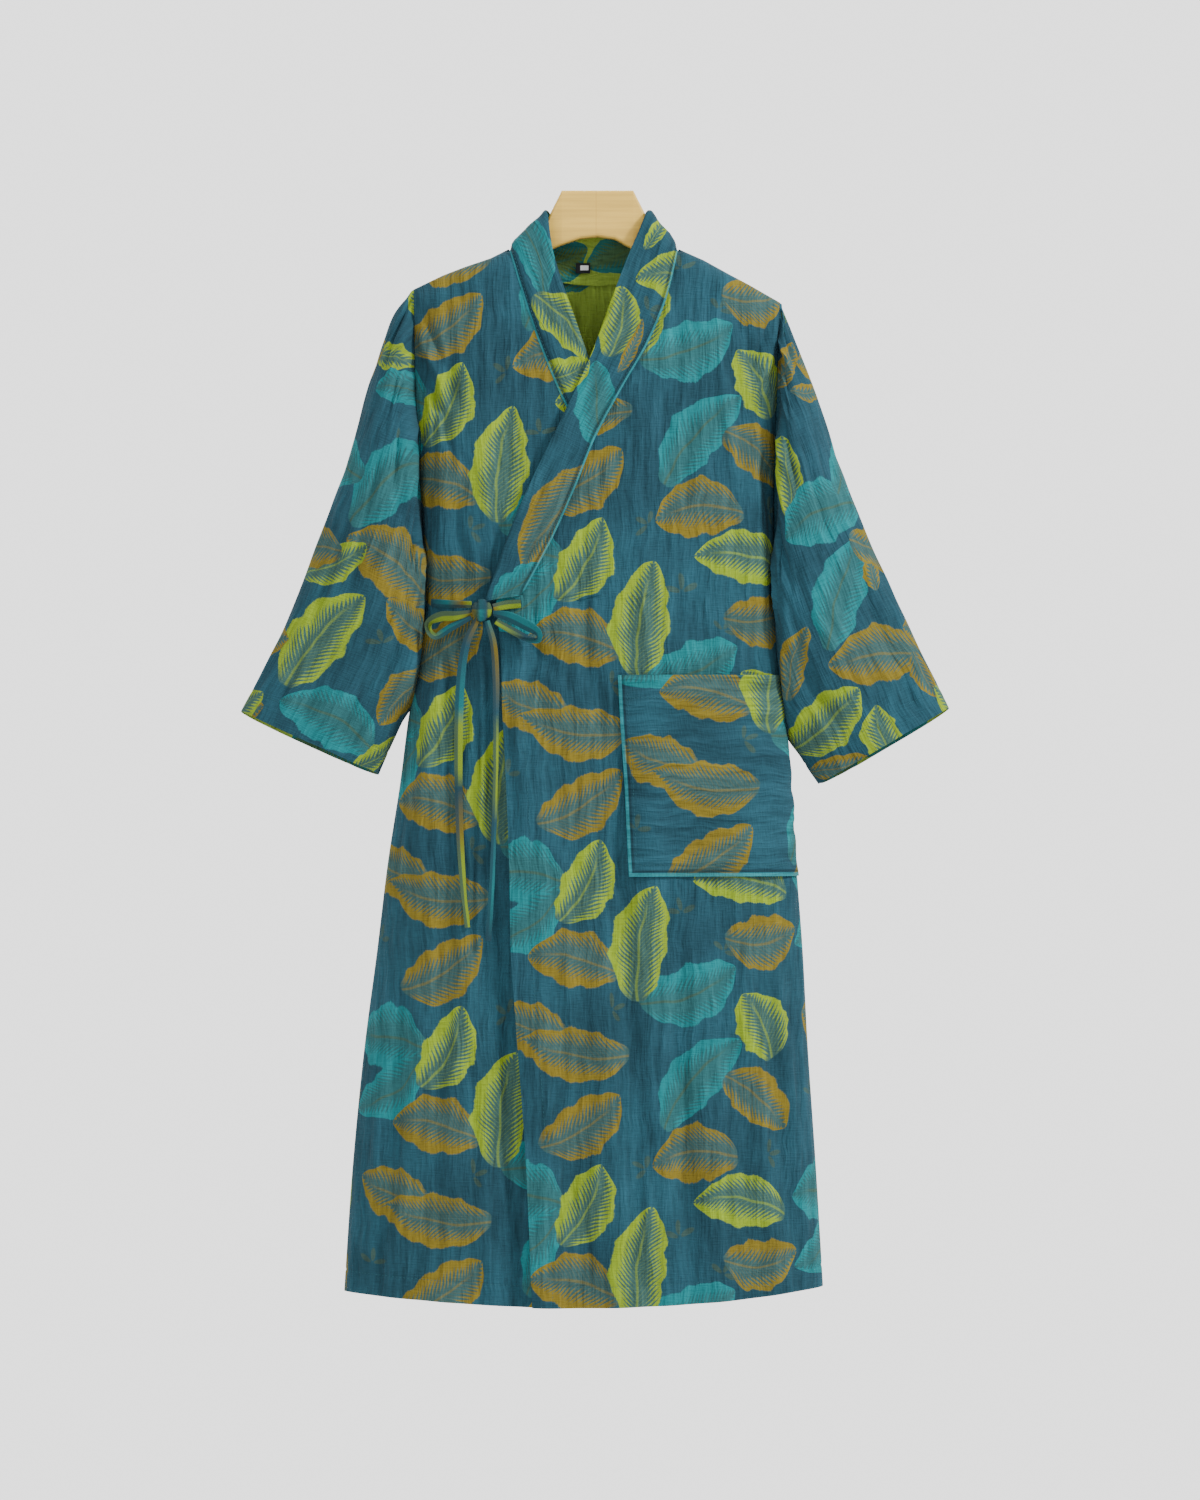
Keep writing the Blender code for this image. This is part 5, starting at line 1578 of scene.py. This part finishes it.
# Colours along each tie, as share of its length and colour
TIE_STOPS = {
    "tie_lead_over": [(0.0, LIME), (0.75, LIME), (1.0, MUSTARD)],
    "tie_lead_under": [(0.0, GROUND), (0.45, TURQUOISE), (0.8, MUSTARD), (1.0, LIME)],
    "tie_loop_right": [(0.0, MUSTARD), (0.12, LIME), (0.52, LIME), (0.72, TURQUOISE), (1.0, GROUND)],
    "tie_loop_left": [(0.0, GROUND), (0.2, TURQUOISE), (0.5, TURQUOISE), (0.7, GROUND_DEEP),
                      (1.0, LIME)],
    "tie_tail_right": [(0.0, MUSTARD), (0.1, GROUND), (0.3, TURQUOISE), (0.36, LIME), (0.5, LIME),
                       (0.56, GROUND_DEEP), (0.7, MUSTARD), (0.8, LIME), (1.0, LIME)],
    "tie_tail_left": [(0.0, TURQUOISE), (0.1, MUSTARD), (0.3, GROUND), (0.4, LIME), (0.56, LIME),
                      (0.64, GROUND), (0.85, TURQUOISE), (1.0, GROUND_DEEP)],
}
KNOT_STOPS = [(0.0, MUSTARD), (0.25, OLIVE), (0.45, TURQUOISE), (0.7, GROUND), (0.8, LIME),
              (1.0, LIME)]
for tie_node, (is_under, tie_table) in TIES.items():
    cloth = ribbon_material(tie_node + "_cloth", TIE_STOPS[tie_node])
    make_ribbon(tie_node + "_cloth", tie_node, tie_table, is_under, cloth)


def make_knot():
    """The bow's knot: a soft lump wrapped once by the tie, with the strands' creases."""
    x, z = KNOT_CENTRE
    centre = front_points(np.array(x), np.array(z)) + np.array([0.0, -KNOT_STAND, 0.0])
    work = bmesh.new()
    bmesh.ops.create_uvsphere(work, u_segments=64, v_segments=40, radius=1.0)
    layer = work.loops.layers.uv.new("UVMap")
    for vertex in work.verts:
        p = vertex.co
        wrap = math.exp(-((p.x - 0.08 * p.z) / 0.42) ** 2)
        size = 0.9 + 0.08 * wrap
        for middle, depth in ((0.52, 0.13), (-0.5, 0.12)):
            size -= depth * math.exp(-((p.x - middle) / 0.09) ** 2)
        size -= 0.05 * math.exp(-((p.z + 0.15 * p.x) / 0.1) ** 2) * (1 - wrap)
        size += 0.015 * math.sin(17 * p.z + 5 * p.x)
        vertex.co = Vector([c + s * size * half for c, s, half in zip(centre, p, KNOT_HALF)])
    for face in work.faces:
        face.smooth = True
        for loop in face.loops:
            place = loop.vert.co - Vector(centre)
            loop[layer].uv = (place.z, 0.5 + place.x / KNOT_HALF[0] * 0.5)
    mesh = bpy.data.meshes.new("tie_knot_cloth")
    work.to_mesh(mesh)
    work.free()
    mesh.materials.append(ribbon_material("tie_knot_gauze", KNOT_STOPS))
    piece = place_object("tie_knot_cloth", mesh)
    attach(piece, "root")
    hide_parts("tie_knot")


make_knot()


# Size label

def label_layer(name, middle, width, height, counts, stand, thick, material):
    """Flat layer of the label in front of the back's cloth."""
    x, z = np.meshgrid(middle[0] + width * np.linspace(-0.5, 0.5, counts[0]),
                       middle[1] + height * np.linspace(0.5, -0.5, counts[1]))
    grid = back_points(x, z)
    grid[:, :, 1] -= BAND_WALL / 2 + 0.001 + stand
    normal = np.zeros_like(grid)
    normal[:, :, 1] = -1.0
    return wall(name, grid, normal, thick, np.stack([x, z], axis=-1), (material, material))


def make_label():
    x, z, width, height, thick = LABEL
    right, above, patch_width, patch_height, patch_thick = LABEL_PATCH
    piece = label_layer("label_cloth", (x, z), width, height, (17, 13), thick / 2, thick,
                        plain_material("label_black", LABEL_DARK, 0.7, 0.3))
    declare(piece, "size_label")
    bare = label_layer("label_bare_patch", (x + right, z + above), patch_width, patch_height,
                       (9, 6), thick + patch_thick, patch_thick,
                       plain_material("label_patch", LABEL_PALE, 0.7, 0.05))
    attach(bare, "root")


make_label()


# Hanger
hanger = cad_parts["hanger"].data
hanger.materials.clear()
hanger.materials.append(wood_material())


# Sewing: rows of stitches as short raised threads

def stitches(name, path, out):
    """Row of stitches along a path of points, each lying along it and raised along out."""
    path, out = np.asarray(path), unit(np.asarray(out))
    runs = run_length(path)

    def at(places, values):
        return np.stack([np.interp(places, runs, values[:, c]) for c in range(3)], axis=-1)

    ticks = np.arange(STITCH_PITCH / 2, runs[-1] - STITCH_PITCH / 2, STITCH_PITCH)
    centre, up = at(ticks, path), unit(at(ticks, out))
    along = unit(at(ticks + STITCH_LENGTH / 2, path) - at(ticks - STITCH_LENGTH / 2, path))
    side = unit(np.cross(along, up))
    sides = len(STITCH_TURNS)
    vertices, faces = [], []
    for k in range(len(ticks)):
        start = len(vertices)
        for place, size in STITCH_RINGS:
            rise = STITCH_THICK * 0.35 * (1 - (2 * place) ** 2)
            middle = centre[k] + along[k] * place * STITCH_LENGTH + up[k] * rise
            for turn in STITCH_TURNS:
                ray = side[k] * math.cos(turn) + up[k] * math.sin(turn)
                vertices.append(middle + ray * STITCH_THICK / 2 * size)
        for ring in range(len(STITCH_RINGS) - 1):
            for t in range(sides):
                a, b = (start + ring * sides + u % sides for u in (t, t + 1))
                faces.append((a, b, b + sides, a + sides))
        last = start + sides * (len(STITCH_RINGS) - 1)
        faces.append(tuple(start + t for t in reversed(range(sides))))
        faces.append(tuple(last + t for t in range(sides)))
    mesh = bpy.data.meshes.new(name)
    mesh.from_pydata([tuple(v) for v in vertices], [], faces)
    mesh.shade_smooth()
    mesh.materials.append(THREAD_MATERIAL)
    piece = place_object(name, mesh)
    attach(piece, "root")


THREAD_MATERIAL = plain_material("thread", THREAD, 0.7, 0.2)


def sew_panels():
    """Rows of stitches along the hems, free edge, bands' seams, cuffs and pocket."""
    for name, panel, normal in (("over", OVER[0], OVER[1]), ("under", UNDER[0], UNDER[1]),
                                ("back", BACK_MOVED, BACK_NORMAL)):
        line, out = panel[HEM_ROW, 2:-2], normal[HEM_ROW, 2:-2]
        stitches("stitch_hem_" + name, line + out * WALL / 2, out)
    moved, normal, drops = OVER[:3]
    free = np.nonzero((drops > EDGE_SEWING_DROP) & (drops < drops[-1] - 0.004))[0]
    line = []
    for i in free:
        gap = np.abs(moved[i, :, 0] - moved[i, -1, 0])
        line.append([np.interp(HEM_FOLD, gap[::-1], moved[i, ::-1, c]) for c in range(3)])
    stitches("stitch_edge_over", np.array(line) + normal[free, -3] * WALL / 2, normal[free, -3])
    for name, (band, out) in (("over", BAND_OVER), ("under", BAND_UNDER)):
        line, out = band[2:-1, 2], out[2:-1, 2]
        stitches("stitch_band_" + name, line + out * BAND_WALL * 0.42, out)
    for name, (sleeve, out, to_cuff) in (("right", SLEEVE_R), ("left", SLEEVE_L)):
        line, outs = [], []
        for j in range(sleeve.shape[1]):
            place = [np.interp(-CUFF_FOLD, -to_cuff[:, j], sleeve[:, j, c]) for c in range(3)]
            i = int(np.argmin(np.abs(to_cuff[:, j] - CUFF_FOLD)))
            line.append(place + out[i, j] * WALL / 2)
            outs.append(out[i, j])
        stitches("stitch_cuff_" + name, line, outs)
    pocket, out = POCKET
    for name, line in (("side", (slice(3, -2), -4)), ("low", (-3, slice(3, -3))),
                       ("top", (4, slice(3, -3)))):
        stitches("stitch_pocket_" + name, pocket[line], out[line])


sew_panels()


# Floor, light and camera

def make_floor():
    mesh = bpy.data.meshes.new("floor")
    work = bmesh.new()
    bmesh.ops.create_circle(work, cap_ends=True, segments=96, radius=1.2)
    work.to_mesh(mesh)
    work.free()
    mesh.materials.append(plain_material("floor_pale", FLOOR, 0.9, 0.01))
    floor = place_object("floor", mesh)
    floor.location = (0.0, 0.0, -1.7)


def make_light(name, place, target_z, size, power):
    lamp = bpy.data.lights.new(name, "AREA")
    lamp.size = size
    lamp.energy = power
    thing = place_object(name, lamp)
    thing.location = place
    ahead = Vector((0.0, 0.0, target_z)) - Vector(place)
    thing.rotation_euler = ahead.to_track_quat("-Z", "Y").to_euler()


def make_world():
    world = bpy.data.worlds.new("studio")
    world.use_nodes = True
    background = world.node_tree.nodes["Background"]
    background.inputs["Color"].default_value = (1.0, 1.0, 1.0, 1.0)
    background.inputs["Strength"].default_value = WORLD_STRENGTH
    bpy.context.scene.world = world


def make_camera():
    camera = bpy.data.cameras.new("camera")
    camera.sensor_fit = "VERTICAL"
    camera.sensor_height = SENSOR
    camera.lens = SENSOR * CAMERA_DISTANCE / VIEW_HEIGHT
    camera.clip_end = 50.0
    thing = place_object("camera", camera)
    thing.location = (PHOTO_CENTRE[0], -CAMERA_DISTANCE, PHOTO_CENTRE[1])
    thing.rotation_euler = (math.pi / 2, 0.0, 0.0)
    bpy.context.scene.camera = thing


make_floor()
for light_name, settings in LIGHTS.items():
    make_light(light_name, *settings)
make_world()
make_camera()
